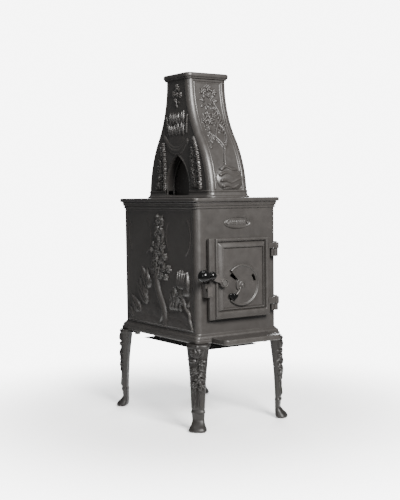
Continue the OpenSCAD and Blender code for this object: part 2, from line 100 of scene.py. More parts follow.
DOOR_Z = (SEAL_LO[2] - SEAL_IN, SEAL_HI[2] + SEAL_IN)
# The front of door_panel's box is its hinge knuckles, 5 mm in front of the door's own face, so the
# drawn door, its arms, the air plate and the latch lever stand 4 to 5 mm in front of their nodes.
FACE_Y = span("door_panel")[0][1]
SLAB_Y = FACE_Y + 6
AIR_R = 61
AIR_X = span("air_plate")[1][0] - AIR_R
AIR_Z = centre_of("air_plate")[2]
PIVOT_X, _, PIVOT_Z = centre_of("latch_pivot_bolt")
_, HANDLE_Y, HANDLE_Z = centre_of("handle_ball")

rng = np.random.default_rng(11)

# ---- meshes ----


def closed_normals(mesh):
    bm = bmesh.new()
    bm.from_mesh(mesh)
    bmesh.ops.recalc_face_normals(bm, faces=bm.faces)
    bm.to_mesh(mesh)
    bm.free()


def piece(name, shells, material, body, replaces=(), smooth=38):
    """One named piece made of closed shells, each a pair of points and faces."""
    verts, faces, count = [], [], 0
    for points, quads in shells:
        points = np.reshape(np.asarray(points, float), (-1, 3))
        faces += [[i + count for i in f] for f in quads]
        verts.append(points)
        count += len(points)
    co = np.concatenate(verts)
    co[:, 1] += MID_Y
    mesh = bpy.data.meshes.new(name)
    mesh.from_pydata((co * MM).tolist(), [], faces)
    closed_normals(mesh)
    mesh.shade_smooth()
    mesh.set_sharp_from_angle(angle=math.radians(smooth))
    mesh.materials.append(MATERIALS[material])
    obj = bpy.data.objects.new(name, mesh)
    bpy.context.scene.collection.objects.link(obj)
    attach(obj, body)
    if replaces:
        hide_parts(*replaces)
    return obj


def bevelled(obj, width):
    """Rounds the piece's hard edges."""
    mod = obj.modifiers.new("bevel", "BEVEL")
    mod.width = width * MM
    mod.segments = 3
    mod.limit_method = "ANGLE"
    mod.angle_limit = math.radians(32)


def grid_faces(rows, cols, wrap=False):
    idx = np.arange(rows * cols).reshape(rows, cols)
    if wrap:
        idx = np.concatenate([idx, idx[:, :1]], 1)
    quads = np.stack([idx[:-1, :-1], idx[:-1, 1:], idx[1:, 1:], idx[1:, :-1]], -1)
    return quads.reshape(-1, 4).tolist()


def inner(loop, gap=0.3):
    """The same loop drawn in a little, so that a flat end stays flat when it is shaded."""
    middle = loop.mean(axis=0)
    reach = np.linalg.norm(loop - middle, axis=1).max()
    return middle + (loop - middle) * (1 - min(0.4, gap / (reach + 1e-6)))


def loft(loops, ring=False, eased=True):
    """Skin through loops of equal length, capped at both ends, or joined end to end."""
    loops = [np.asarray(p, float) for p in loops]
    if eased and not ring:
        loops = [inner(loops[0])] + loops + [inner(loops[-1])]
    n, m = len(loops[0]), len(loops)
    points = np.concatenate(loops)
    if ring:
        return points, [[i % len(points) for i in f] for f in grid_faces(m + 1, n, wrap=True)]
    ends = [list(range(n))[::-1], list(range((m - 1) * n, m * n))]
    return points, grid_faces(m, n, wrap=True) + ends


def rounded(half_a, half_b, r, steps=8):
    """Rounded rectangle about the origin, anticlockwise."""
    r = max(r, 0.05)
    points = []
    for quarter, (sa, sb) in enumerate(((1, 1), (-1, 1), (-1, -1), (1, -1))):
        for k in range(steps + 1):
            t = math.pi / 2 * (quarter + k / steps)
            points.append((sa * (half_a - r) + r * math.cos(t), sb * (half_b - r) + r * math.sin(t)))
    return points


def sweep(p, q, first, steps=5):
    """Quarter of an ellipse between two profile points; it leaves p along the named way, out or up."""
    rows = []
    for k in range(steps + 1):
        t = math.pi / 2 * k / steps
        slow, fast = 1 - math.cos(t), math.sin(t)
        share = (slow, fast) if first == "out" else (fast, slow)
        rows.append((p[0] + (q[0] - p[0]) * share[0], p[1] + (q[1] - p[1]) * share[1]))
    return rows


def moulding(half_x, half_y, rows, radius):
    """Loops of a moulded plate. Each row is its height and how far it stands out; radius gives its corner's."""
    return [[(x, y, z) for x, y in rounded(half_x + over, half_y + over, radius(over))] for z, over in rows]


def full_turn(steps):
    return np.arange(steps) * 2 * math.pi / steps


def cos_sin(degrees):
    return math.cos(math.radians(degrees)), math.sin(math.radians(degrees))


AXES = {"x": (1, 2, 0), "y": (2, 0, 1), "z": (0, 1, 2)}


def lathe(axis, centre, profile, steps=48, ring=False):
    """Turned shape: a profile of radius and distance along the axis, about the centre."""
    u, v, w = AXES[axis]
    loops = []
    t = full_turn(steps)
    for radius, along in profile:
        loop = np.tile(np.asarray(centre, float), (steps, 1))
        loop[:, u] += max(radius, 0.02) * np.cos(t)
        loop[:, v] += max(radius, 0.02) * np.sin(t)
        loop[:, w] += along
        loops.append(loop)
    return loft(loops, ring)


def rod_profile(r, start, end, edge):
    """Profile of a rod with rounded ends."""
    rows = [(0, start)] + [(r - edge + a, start + b) for b, a in sweep((0, 0), (edge, edge), "out", 4)]
    rows += [(r - edge + a, end - edge + b) for b, a in reversed(sweep((edge, 0), (0, edge), "up", 4))]
    return rows + [(0, end)]


def tube(points, radii, steps=14, up=(0, 1, 0), tips=True):
    """Round bar along a line of points, with a domed tip at each end if asked."""
    points = np.asarray(points, float)
    way = np.gradient(points, axis=0)
    way /= np.linalg.norm(way, axis=1)[:, None]
    loops = []
    t = full_turn(steps)
    for k, p in enumerate(points):
        side = np.cross(way[k], up)
        side /= np.linalg.norm(side)
        over = np.cross(side, way[k])
        loops.append(p + radii[k] * (np.outer(np.cos(t), side) + np.outer(np.sin(t), over)))
    if tips:
        first = points[0] - way[0] * radii[0] * 0.4 + (loops[0] - points[0]) * 0.35
        last = points[-1] + way[-1] * radii[-1] * 0.4 + (loops[-1] - points[-1]) * 0.35
        loops = [first] + loops + [last]
    return loft(loops)


def curve_through(points, count):
    """Points along a smooth line through the given ones."""
    points = np.asarray(points, float)
    padded = np.vstack([2 * points[0] - points[1], points, 2 * points[-1] - points[-2]])
    out = []
    for t in np.linspace(0, len(points) - 1.0001, count):
        i = int(t)
        f = t - i
        a, b, c, d = padded[i:i + 4]
        out.append(0.5 * (2 * b + (c - a) * f + (2 * a - 5 * b + 4 * c - d) * f * f
                          + (3 * b - a - 3 * c + d) * f ** 3))
    return np.array(out)


def smooth_table(x, places, values):
    """Smooth line through a table of values, read at x."""
    line = curve_through(list(zip(places, values)), 24 * len(places))
    return np.interp(x, line[:, 0], line[:, 1])


# ---- relief: heights over a flat sheet, in the sheet's own across and up ----


class Relief:
    def __init__(self, across, up):
        self.a, self.b = across, up
        self.h = np.zeros_like(across)

    def near(self, at, reach, turn=0):
        """The points within reach of a place, and where they are along and across a turn about it."""
        where = np.nonzero((abs(self.a - at[0]) < reach) & (abs(self.b - at[1]) < reach))
        c, s = cos_sin(turn)
        da, db = self.a[where] - at[0], self.b[where] - at[1]
        return where, da * c + db * s, db * c - da * s

    def lift(self, where, height):
        self.h[where] = np.maximum(self.h[where], height)

    def dome(self, at, half_a, half_b, height, turn=0):
        where, u, v = self.near(at, max(half_a, half_b), turn)
        self.lift(where, height * np.sqrt(np.clip(1 - (u / half_a) ** 2 - (v / half_b) ** 2, 0, 1)))

    def leaf(self, at, length, width, turn, height, rib=0.45):
        """Pointed leaf from its foot, with a sunk midrib."""
        where, s, t = self.near(at, length + width, turn)
        s = s / length
        half = width / 2 * np.sin(math.pi * np.clip(s, 0, 1) ** 0.7) + 1e-6
        across = np.abs(t) / half
        h = height * np.sqrt(np.clip(1 - across ** 2, 0, 1))
        h = h * (0.6 + 0.4 * np.sin(math.pi * np.clip(s, 0, 1)))
        h = h * (1 - rib * np.exp(-(t / (0.07 * width + 0.5)) ** 2))
        self.lift(where, np.where((s > 0) & (s < 1), h, 0))

    def stroke(self, points, radius, height, tip=None, count=40):
        """Round ridge along a smooth line; tip is its radius at the far end."""
        tip = radius if tip is None else tip
        line = curve_through(points, count)
        for k, p in enumerate(line):
            r = radius + (tip - radius) * k / (count - 1)
            self.dome(p, r, r, height * r / max(radius, tip))

    def line(self, points, radius, height, count=60):
        """Thin ridge of even height along a smooth line."""
        path = curve_through(points, count)
        best = np.full(self.h.shape, 1e9)
        for p, q in zip(path[:-1], path[1:]):
            d = q - p
            t = np.clip(((self.a - p[0]) * d[0] + (self.b - p[1]) * d[1]) / (d @ d + 1e-9), 0, 1)
            best = np.minimum(best, (self.a - p[0] - t * d[0]) ** 2 + (self.b - p[1] - t * d[1]) ** 2)
        self.h = np.maximum(self.h, height * np.sqrt(np.clip(1 - best / radius ** 2, 0, 1)))

    def flower(self, at, radius, height, turn=0, petals=5):
        for k in range(petals):
            angle = turn + 360 * k / petals
            c, s = cos_sin(angle)
            middle = (at[0] + 0.55 * radius * c, at[1] + 0.55 * radius * s)
            self.dome(middle, 0.5 * radius, 0.36 * radius, height, angle)
        where, u, v = self.near(at, 0.3 * radius)
        centre = np.clip(1 - (u * u + v * v) / (0.27 * radius) ** 2, 0, 1)
        self.h[where] = np.where(centre > 0, height * (0.45 + 0.75 * np.sqrt(centre)), self.h[where])

    def flowers(self, places, height):
        """Blossoms at places with their radius, each turned at random."""
        for at, radius in places:
            self.flower(at, radius, height, rng.uniform(0, 72))

    def leaves(self, places, width, height, rib):
        """Leaves at places with their length and turn."""
        for at, length, turn in places:
            self.leaf(at, length, width, turn, height, rib)

    def frond(self, at, length, turn, height, pairs=6, spread=48):
        """Fern leaf: a rib with leaflets in pairs, shorter to the tip."""
        c, s = cos_sin(turn)
        for k in range(pairs):
            t = (k + 0.5) / pairs
            foot = (at[0] + c * length * t, at[1] + s * length * t)
            long = 0.42 * length * (1 - 0.75 * t)
            for side in (-1, 1):
                self.leaf(foot, long, 0.3 * long + 1.2, turn + side * spread, height, 0.2)
        self.stroke([at, (at[0] + c * length, at[1] + s * length)], 1.5, height, 0.8, 20)

    def hill(self, places, tops, height, soft=17):
        """Ground that rises behind a wavy edge."""
        edge = smooth_table(self.a, places, tops)
        rise = np.clip((edge - self.b) / soft, 0, 1)
        folds = 0.5 * np.sin(self.a / 9 + self.b / 6) * np.sin(self.a / 23 - self.b / 11)
        self.h = np.maximum(self.h, (height + folds) * np.sin(rise * math.pi / 2))


def plane_back(bm, axis, value):
    """Closes an open sheet: its border runs back to a plane, and one flat face shuts it."""
    border = [e for e in bm.edges if e.is_boundary]
    made = bmesh.ops.extrude_edge_only(bm, edges=border)["geom"]
    for v in made:
        if isinstance(v, bmesh.types.BMVert):
            v.co[axis] = value
    far = [e for e in made if isinstance(e, bmesh.types.BMEdge)]
    bmesh.ops.edgeloop_fill(bm, edges=far)


def backed(sheets, axis, value):
    """Closed shell from one or more sheets that share an edge: grids of points."""
    bm = bmesh.new()
    for grid in sheets:
        rows, cols = grid.shape[:2]
        verts = [bm.verts.new(p) for p in grid.reshape(-1, 3)]
        for f in grid_faces(rows, cols):
            bm.faces.new([verts[i] for i in f])
    bmesh.ops.remove_doubles(bm, verts=bm.verts, dist=0.02)
    bmesh.ops.dissolve_degenerate(bm, dist=0.001, edges=bm.edges)
    plane_back(bm, axis, value)
    bm.verts.index_update()
    points = [v.co[:] for v in bm.verts]
    faces = [[v.index for v in f.verts] for f in bm.faces]
    bm.free()
    return points, faces


# ---- finishes ----


def node_tree(name):
    mat = bpy.data.materials.new(name)
    mat.use_nodes = True
    tree = mat.node_tree
    tree.nodes.clear()
    shader = tree.nodes.new("ShaderNodeBsdfPrincipled")
    out = tree.nodes.new("ShaderNodeOutputMaterial")
    tree.links.new(shader.outputs[0], out.inputs["Surface"])
    return mat, tree, shader


def fill(made, **inputs):
    """Sets a node's inputs, named with underscores for spaces, each to a value or a link."""
    for name, value in inputs.items():
        socket = made.inputs[name.replace("_", " ")]
        if isinstance(value, bpy.types.NodeSocket):
            made.id_data.links.new(value, socket)
        elif value is not None:
            socket.default_value = value
    return made


def node(tree, kind, **inputs):
    return fill(tree.nodes.new("ShaderNode" + kind), **inputs)


def noise(tree, coord, scale, detail=4, rough=0.55):
    return node(tree, "TexNoise", Scale=scale, Detail=detail, Roughness=rough, Vector=coord).outputs["Fac"]


def ramp(tree, value, stops):
    made = node(tree, "ValToRGB", Fac=value)
    elements = made.color_ramp.elements
    for element, (at, colour) in zip(elements, (stops[0], stops[-1])):
        element.position = at
        element.color = (*colour, 1)
    for at, colour in stops[1:-1]:
        elements.new(at).color = (*colour, 1)
    return made.outputs["Color"]


def span_to(tree, value, low, high):
    made = node(tree, "MapRange", From_Min=0.3, From_Max=0.7, To_Min=low, To_Max=high, Value=value)
    return made.outputs["Result"]


def bump(tree, height, distance, strength, normal=None):
    made = node(tree, "Bump", Distance=distance, Strength=strength, Height=height, Normal=normal)
    return made.outputs["Normal"]


def tinted(colour, share):
    return tuple(c * share for c in colour)


def finish_of(name, colour, rough, metallic=0.0, specular=0.5, coat=0.0, cast=0.25, rub_and_highlight=0.0, spread=0.07):
    """Painted, bare or polished metal: mottled tint, uneven gloss and a cast or brushed grain, and if asked, lighter
    convex edges that are partly rubbed wear and partly painted highlight.
    """
    mat, tree, shader = node_tree(name)
    coord = tree.nodes.new("ShaderNodeTexCoord").outputs["Object"]
    wide = noise(tree, coord, 14, 5)
    fine = noise(tree, coord, 420, 3, 0.6)
    tint = ramp(tree, wide, [(0.3, tinted(colour, 0.86)), (0.5, colour), (0.72, tinted(colour, 1.13))])
    # Convex edges, found by pointiness, are lightened towards 3.2 times the tint: partly rubbed wear, partly a
    # painted highlight on the ridges.
    if rub_and_highlight:
        edge = tree.nodes.new("ShaderNodeNewGeometry").outputs["Pointiness"]
        rub_and_highlight_mask = ramp(tree, edge, [(0.51, (0, 0, 0)), (0.62, (rub_and_highlight, rub_and_highlight, rub_and_highlight))])
        mix = node(tree, "Mix")
        mix.data_type = "RGBA"
        fill(mix, Factor=rub_and_highlight_mask, A=tint, B=(*tinted(colour, 3.2), 1))
        tint = mix.outputs["Result"]
    gloss = span_to(tree, noise(tree, coord, 55, 4), rough - spread, rough + spread)
    grain = bump(tree, fine, 0.0005, cast)
    fill(shader, Base_Color=tint, Roughness=gloss, Metallic=metallic, Specular_IOR_Level=specular,
         Coat_Weight=coat, Coat_Roughness=0.08, Normal=bump(tree, wide, 0.002, cast * 0.5, grain))
    return mat


def rope_finish(name):
    mat, tree, shader = node_tree(name)
    coord = tree.nodes.new("ShaderNodeTexCoord").outputs["Object"]
    wave = node(tree, "TexWave", Scale=90, Distortion=1.5, Vector=coord)
    wave.bands_direction = "DIAGONAL"
    fibre = ramp(tree, noise(tree, coord, 600, 3), [(0.3, (0.10, 0.095, 0.085)), (0.7, (0.24, 0.23, 0.21))])
    fill(shader, Base_Color=fibre, Roughness=0.92, Normal=bump(tree, wave.outputs["Fac"], 0.0012, 0.8))
    return mat


IRON = (0.027, 0.0245, 0.0228)
MATERIALS = {
    "cast_iron": finish_of("cast iron enamel", IRON, 0.4, specular=0.5),
    # The relief's iron has its convex ridges lightened: partly rubbed wear, partly painted highlight.
    "relief": finish_of("cast iron relief", IRON, 0.38, specular=0.5, rub_and_highlight=0.4),
    # The legs' iron is darkened to 0.42 of the body's as painted shade, with the same lightened ridges of wear and
    # painted highlight.
    "leg": finish_of("cast iron legs in painted shade", tinted(IRON, 0.42), 0.42, specular=0.3, rub_and_highlight=0.2),
    # The latch lever and keeper get the iron lightened 1.5 times with more specular: a painted highlight on the same
    # cast iron.
    "highlit": finish_of("handled cast iron", tinted(IRON, 1.5), 0.34, specular=0.6, cast=0.12),
    "cast_iron_inner": finish_of("sooted cast iron", (0.018, 0.017, 0.016), 0.8, specular=0.2, cast=0.6),
    "sheet_steel": finish_of("painted sheet steel", (0.03, 0.028, 0.026), 0.5, cast=0.12),
    "steel": finish_of("plain steel", (0.16, 0.153, 0.145), 0.4, metallic=0.85, cast=0.12),
    "dark_steel": finish_of("blackened steel", (0.09, 0.085, 0.08), 0.4, metallic=0.8, cast=0.15),
    "seal_rope": rope_finish("glass fibre rope"),
    "black_knob": finish_of("glossy black", (0.003, 0.003, 0.003), 0.13, specular=0.2, coat=0.05, cast=0.03,
                            spread=0.05),
}

for sub in frame["record"]["subparts"]:
    cad = frame["nodes"][sub["node"]]
    for material_slot in cad.material_slots:
        material_slot.material = MATERIALS[sub["material_slot"]]

# ---- firebox castings ----


def plate_radius(outer):
    """Corner radius for an overhang: it grows as the profile draws in, and is tight inside."""
    return lambda over: outer + max(0, 10.5 - over) * 0.5 if over > 0 else 6


def top_plate():
    """Moulded cover: a lip, a bead, a hollow under the slab, and the slab's round nose."""
    z0 = BODY_Z1
    inside = -WALL - 1
    rows = [(TOP_Z - 12, inside - 1), (z0, inside), (z0, 1.6)]
    rows += sweep((z0 + 0.8, 2.4), (z0 + 2, 3), "out", 3)
    rows += [(z0 + 5.5, 3), (z0 + 6.3, 2), (z0 + 7.2, 2)]
    rows += sweep((z0 + 8, 3.4), (z0 + 9.6, 4.6), "out", 3)
    rows += sweep((z0 + 10.8, 4.6), (z0 + 16.6, 7), "up", 5)
    rows += [(z0 + 17.4, 5.4), (z0 + 19, 5.2)]
    rows += sweep((z0 + 19.6, 7.4), (z0 + 22.4, 10.5), "out", 5)
    rows += sweep((TOP_Z - 3, 10.5), (TOP_Z, 7.4), "up", 5)
    loops = moulding(HALF_W, HALF_D, rows, plate_radius(12))
    piece("top_plate_casting", [loft(loops)], "cast_iron", "stove", ["top_plate"])


def base_plate():
    """Moulded base with a lip in front to catch ash."""
    z0 = BASE_Z0
    rows = [(z0 + 19, -WALL - 2), (z0, -WALL), (z0, 7.8)]
    rows += sweep((z0, 8), (z0 + 2.5, 10.5), "out", 4)
    rows += sweep((z0 + 9, 10.5), (z0 + 12, 8.2), "up", 4)
    rows += sweep((z0 + 13, 8.2), (z0 + 22, 3.6), "up", 6)
    rows += [(z0 + 24.5, 3.4), (z0 + 25.2, 2), (z0 + 27, 1.6)]
    shells = [loft(moulding(HALF_W, HALF_D, rows, plate_radius(11)))]
    lip_half = 101.5
    depth = (-HALF_D - LIP_Y) / 2 + 6
    middle = LIP_Y + depth
    edge = [(z0, -3)] + sweep((z0 + 0.2, -2), (z0 + 3, 0), "out", 4)
    edge += sweep((z0 + 12, 0), (z0 + 16, -4), "up", 5)
    edge += [(z0 + 16, -7), (z0 + 14.8, -8.5), (z0 + 14.6, -12)]
    loops = moulding(lip_half, depth, edge, lambda over: 13 + over)
    shells.append(loft([np.array(loop) + (0, middle, 0) for loop in loops]))
    piece("base_plate_casting", shells, "cast_iron", "stove", ["base_plate"])


def side_relief(relief):
    """Flowering tree on low hills, big leaves, a fan of blades and thin roundels; across runs to the front."""
    relief.hill([-196, -150, -110, -65, -20, 28, 56, 101, 140, 160, 176, 192],
                [322, 330, 340, 346, 350, 338, 328, 338, 341, 330, 306, 286], 3.2)
    relief.hill([-196, -130, -85, -20, 15, 46, 88, 130, 165, 192],
                [296, 306, 314, 312, 303, 312, 319, 314, 300, 284], 5.6)
    relief.stroke([(-12, 432), (-8, 404), (4, 376), (20, 352), (31, 330), (36, 306), (40, 288)], 12.5, 10, 13)
    relief.stroke([(26, 340), (20, 316), (10, 300), (2, 286)], 7, 8, 5)
    relief.stroke([(38, 312), (52, 300), (66, 290)], 6, 7, 4)
    relief.stroke([(-12, 430), (-10, 470), (0, 520), (2, 565), (6, 608)], 4, 7, 2)
    heights, half = (425, 440, 460, 500, 547, 586, 612), (20, 46, 50, 42, 25, 26, 13)
    for k in range(26):
        z = 430 + 7.1 * k
        reach = np.interp(z, heights, half)
        lean = 0.09 * (z - 430) - 8
        for side in (-1, 1):
            out = rng.uniform(0.25, 0.62) * reach
            turn = 90 - side * rng.uniform(22, 62)
            relief.leaf((lean + side * out, z - 6), rng.uniform(19, 25), rng.uniform(8.5, 11), turn, 6.6, 0.4)
        relief.leaf((lean + rng.uniform(-9, 9), z - 4), 20, 9, 90 + rng.uniform(-30, 30), 7.6, 0.4)
    relief.frond((-22, 432), 66, 97, 7, 7, 46)
    relief.flowers([((16, 606), 10), ((0, 600), 8), ((20, 570), 10), ((6, 548), 8), ((-10, 560), 8),
                    ((24, 520), 9), ((38, 492), 11), ((18, 480), 10), ((58, 458), 12), ((34, 456), 10),
                    ((42, 432), 11), ((20, 440), 9), ((-36, 512), 8), ((-24, 530), 8)], 8)
    for at, tip, wide, high in (((-62, 392), (-96, 458), 34, 9), ((-54, 398), (-66, 452), 20, 10),
                                ((-72, 344), (-128, 408), 34, 9), ((-66, 350), (-98, 396), 20, 10),
                                ((-112, 316), (-168, 366), 32, 8.5), ((-104, 318), (-132, 352), 18, 9),
                                ((-150, 294), (-180, 330), 20, 7.5), ((-92, 372), (-116, 428), 18, 7.5)):
        long = math.dist(at, tip)
        relief.leaf(at, long, wide, math.degrees(math.atan2(tip[1] - at[1], tip[0] - at[0])), high, 0.35)
    relief.dome((-58, 410), 14, 17, 8, -20)
    relief.dome((-84, 388), 22, 12, 7, -40)
    relief.dome((-140, 330), 26, 14, 7, -42)
    for k in range(5):
        relief.leaf((110 + 10.5 * k, 404 - 1.5 * k), 58 - 3 * abs(k - 2), 14, 93 - 2.2 * k, 9, 0.35)
    relief.leaf((160, 398), 56, 17, 92, 9.5, 0.2)
    relief.dome((132, 412), 28, 12, 7)
    relief.dome((150, 396), 17, 15, 9)
    relief.dome((124, 388), 14, 13, 8)
    for k, (a, z, long) in enumerate(((84, 356, 52), (72, 350, 40), (97, 352, 42), (106, 362, 34), (90, 372, 38))):
        relief.leaf((a, z), long, 17, 92 + (84 - a) * 0.7, 7.5, 0.35)
    for a in (68, 84, 99, 121):
        relief.dome((a, 350), 6, 14, 8, 4)
    relief.flowers([((128, 366), 10), ((112, 378), 9), ((90, 384), 8)], 8)
    relief.stroke([(122, 392), (140, 366), (152, 346), (166, 334), (170, 312), (182, 290)], 5.5, 8.5, 4)
    relief.leaf((156, 350), 24, 9, 60, 6)
    for sign in (-1, 1):
        middle = 109 * sign
        for low, high in ((-54, 46), (146, 222)):
            turn = np.radians(np.linspace(low, high, 9))
            ring = np.stack([middle + 66 * np.cos(turn), 556 + 69 * np.sin(turn)], 1)
            relief.line(ring, 1.5, 1.7, 24)


def side_plate(sign):
    """Outer face of a side plate, slightly sunk between the corner posts."""
    name = "left" if sign < 0 else "right"
    half = side_hi[1]
    across, up = np.meshgrid(np.linspace(-half, half, 300), np.linspace(BODY_Z0, BODY_Z1, 280))
    relief = Relief(across, up)
    side_relief(relief)
    edge = np.minimum(half - np.abs(across), np.minimum(up - BODY_Z0 - 1, BODY_Z1 + 3 - up))
    seam = np.exp(-((half - np.abs(across) - 1.2) / 1.4) ** 2)
    out = -0.6 - 1.6 * np.clip(edge / 5 - 1.2, 0, 1) - 2.2 * seam
    fade = np.clip((edge - 3) / 5, 0, 1)
    face = HALF_W + out + relief.h * fade
    sheet = np.stack([sign * face, -across, up], -1)
    piece(f"{name}_side_casting", [backed([sheet], 0, sign * (HALF_W - WALL))], "relief", "stove",
          [f"{name}_side_plate"], 60)


def badge():
    """Plain oval badge with a rim and a sprig of leaves."""
    middle_z = centre_of("badge")[2]
    half_a, _, half_b = span("badge")[1] - (0, 0, middle_z)
    share, turn = np.meshgrid(np.linspace(0, 1, 44), np.linspace(0, 2 * math.pi, 181)[:-1], indexing="ij")
    across, up = half_a * share * np.cos(turn), half_b * share * np.sin(turn)
    relief = Relief(across, up)
    relief.stroke([(-30, -2), (-12, 2), (10, -1), (30, 2)], 1.2, 0.8, 0.8)
    for k in range(8):
        for side in (-1, 1):
            relief.leaf((-27 + 7.2 * k, 0), 10, 4.2, side * 46 + 4, 0.9, 0.3)
    rim = np.exp(-((share - 0.93) / 0.035) ** 2) + 0.6 * np.exp(-((share - 0.82) / 0.022) ** 2)
    y = -HALF_D - 1.2 - 1.4 * rim - relief.h + 2.2 * np.clip((share - 0.965) / 0.035, 0, 1) ** 2
    sheet = np.stack([across, y, middle_z + up], -1)
    back = sheet[-1].copy()
    back[:, 1] = -HALF_D + 1
    piece("badge_casting", [loft([back, *sheet[:0:-1]])], "cast_iron", "stove", ["badge"])


# ---- legs ----

LEG = [  # height, inner edge, outer edge, width
    (0, -15, 17, 51), (5, -18, 18, 53), (12, -19.5, 14.5, 48), (21, -20, 5, 40), (32, -20, -3, 35.5),
    (44, -20, -2.5, 37), (56, -20, -1, 39), (72, -20, 0.5, 40), (100, -21, -1.5, 42.5), (150, -24, -2, 47),
    (206, -30, -1, 57), (238, -34, 0, 64), (251, -36, 0.5, 66)]


def leg_relief(relief):
    """Leaves over blossoms down the front of the leg, stems below them, and a band at the ankle."""
    relief.stroke([(0, 246), (3, 216), (-3, 186), (2, 156)], 2.6, 4, 1.6)
    for turn, long in ((134, 34), (48, 34), (106, 30), (74, 30)):
        relief.leaf((0, 212), long, 14, turn, 6.6, 0.5)
    for side in (-1, 1):
        relief.leaf((side, 200), 30, 13, 90 - side * 74, 6.4, 0.5)
        relief.leaf((side * 2, 184), 26, 13, 90 - side * 112, 6, 0.5)
        relief.leaf((side * 4, 170), 24, 11, 90 - side * 130, 5.6, 0.5)
    relief.flower((12, 192), 10, 7, 10)
    relief.flower((-8, 172), 11, 7, 40)
    relief.flower((4, 148), 15, 7.4, 15)
    relief.flower((-12, 136), 10, 6.6, 0)
    relief.flower((13, 132), 10, 6.6, 30)
    for side in (-1, 1):
        relief.leaf((side * 3, 130), 24, 11, -90 + side * 36, 5.6, 0.5)
        relief.line([(side * 3, 126), (side * 6, 108), (side * 7, 88), (side * 9, 70)], 1.4, 2.6, 16)
    relief.line([(0, 126), (0, 100), (0, 72)], 1.4, 2.6, 10)


def leg(name, sx, sy):
    """Cabriole leg on a diagonal: d runs outwards from the body's corner, w across the leg."""
    rows, cols = 168, 88
    z = np.linspace(0, BASE_Z0, rows)
    places = [s[0] for s in LEG]
    inner, outer, width = (smooth_table(z, places, [s[k] for s in LEG]) for k in (1, 2, 3))
    turn = full_turn(cols)
    c, s = np.cos(turn), np.sin(turn)
    front = np.clip(c / 0.25 + 0.4, 0, 1)
    power = np.where(c > 0, 2.15, 3.2)
    norm = (np.abs(c) ** power + np.abs(s) ** power) ** (-1 / power)
    middle = (inner + outer) / 2
    deep = (outer - inner) / 2
    d = middle[:, None] + deep[:, None] * (norm * c)[None, :]
    w = width[:, None] / 2 * (norm * s)[None, :]
    up = np.repeat(z[:, None], cols, 1)
    relief = Relief(w.copy(), up)
    leg_relief(relief)
    band = 2.0 * np.exp(-((up - 55) / 3.2) ** 2) + 1.5 * np.exp(-((up - 244) / 3.4) ** 2)
    band -= 1.4 * np.exp(-((up - 63) / 2.2) ** 2)
    lift = relief.h * front[None, :] + band * (0.35 + 0.65 * front[None, :])
    foot_round = 3 * np.clip(1 - up / 4, 0, 1) ** 2
    slope_d, slope_w = np.gradient(d, axis=1), np.gradient(w, axis=1)
    size = np.hypot(slope_d, slope_w) + 1e-6
    d = d + slope_w / size * (lift - foot_round)
    w = w - slope_d / size * (lift - foot_round)
    corner = np.array([sx * (HALF_W + 10.5), sy * (HALF_D + 10.5)])
    out = np.array([sx, sy]) / math.sqrt(2)
    side = np.array([-sy, sx]) / math.sqrt(2) * (sx * sy)
    x = corner[0] + d * out[0] + w * side[0]
    y = corner[1] + d * out[1] + w * side[1]
    shells = [loft(list(np.stack([x, y, up], -1)))]
    pad_x, pad_y, pad_half = sx * 112, sy * 186, 19
    shells.append(loft([[(pad_x + a * k, pad_y + b * k, BASE_Z0 - h) for a, b in rounded(pad_half, pad_half, 6, 5)]
                        for h, k in ((0, 1), (10, 1), (11.6, 0.97), (12, 0.9))]))
    piece(f"{name}_casting", shells, "leg", "stove", [name], 50)


# ---- tower ----


def bell(z):
    """Half depth of the tower at a height: hollow above, full below."""
    run, rise = (FOOT - NECK) / 2, (CAP_Z0 - TOP_Z) / 2
    r = (run * run + rise * rise) / (2 * run)
    h = np.clip(np.asarray(z, float) - TOP_Z, 0, 2 * rise)
    low = FOOT - r + np.sqrt(r * r - np.minimum(h, rise) ** 2)
    high = NECK + r - np.sqrt(r * r - (2 * rise - np.maximum(h, rise)) ** 2)
    return np.where(h < rise, low, high)


def arch_half(z):
    """Half width of the arch at a height, nothing above its point."""
    r = (ARCH_HALF ** 2 + ARCH_RISE ** 2) / (2 * ARCH_HALF)
    h = np.clip(np.asarray(z, float) - TOP_Z - ARCH_SPRING, 0, ARCH_RISE)
    return np.clip(ARCH_HALF - r + np.sqrt(r * r - h * h), 0, ARCH_HALF)


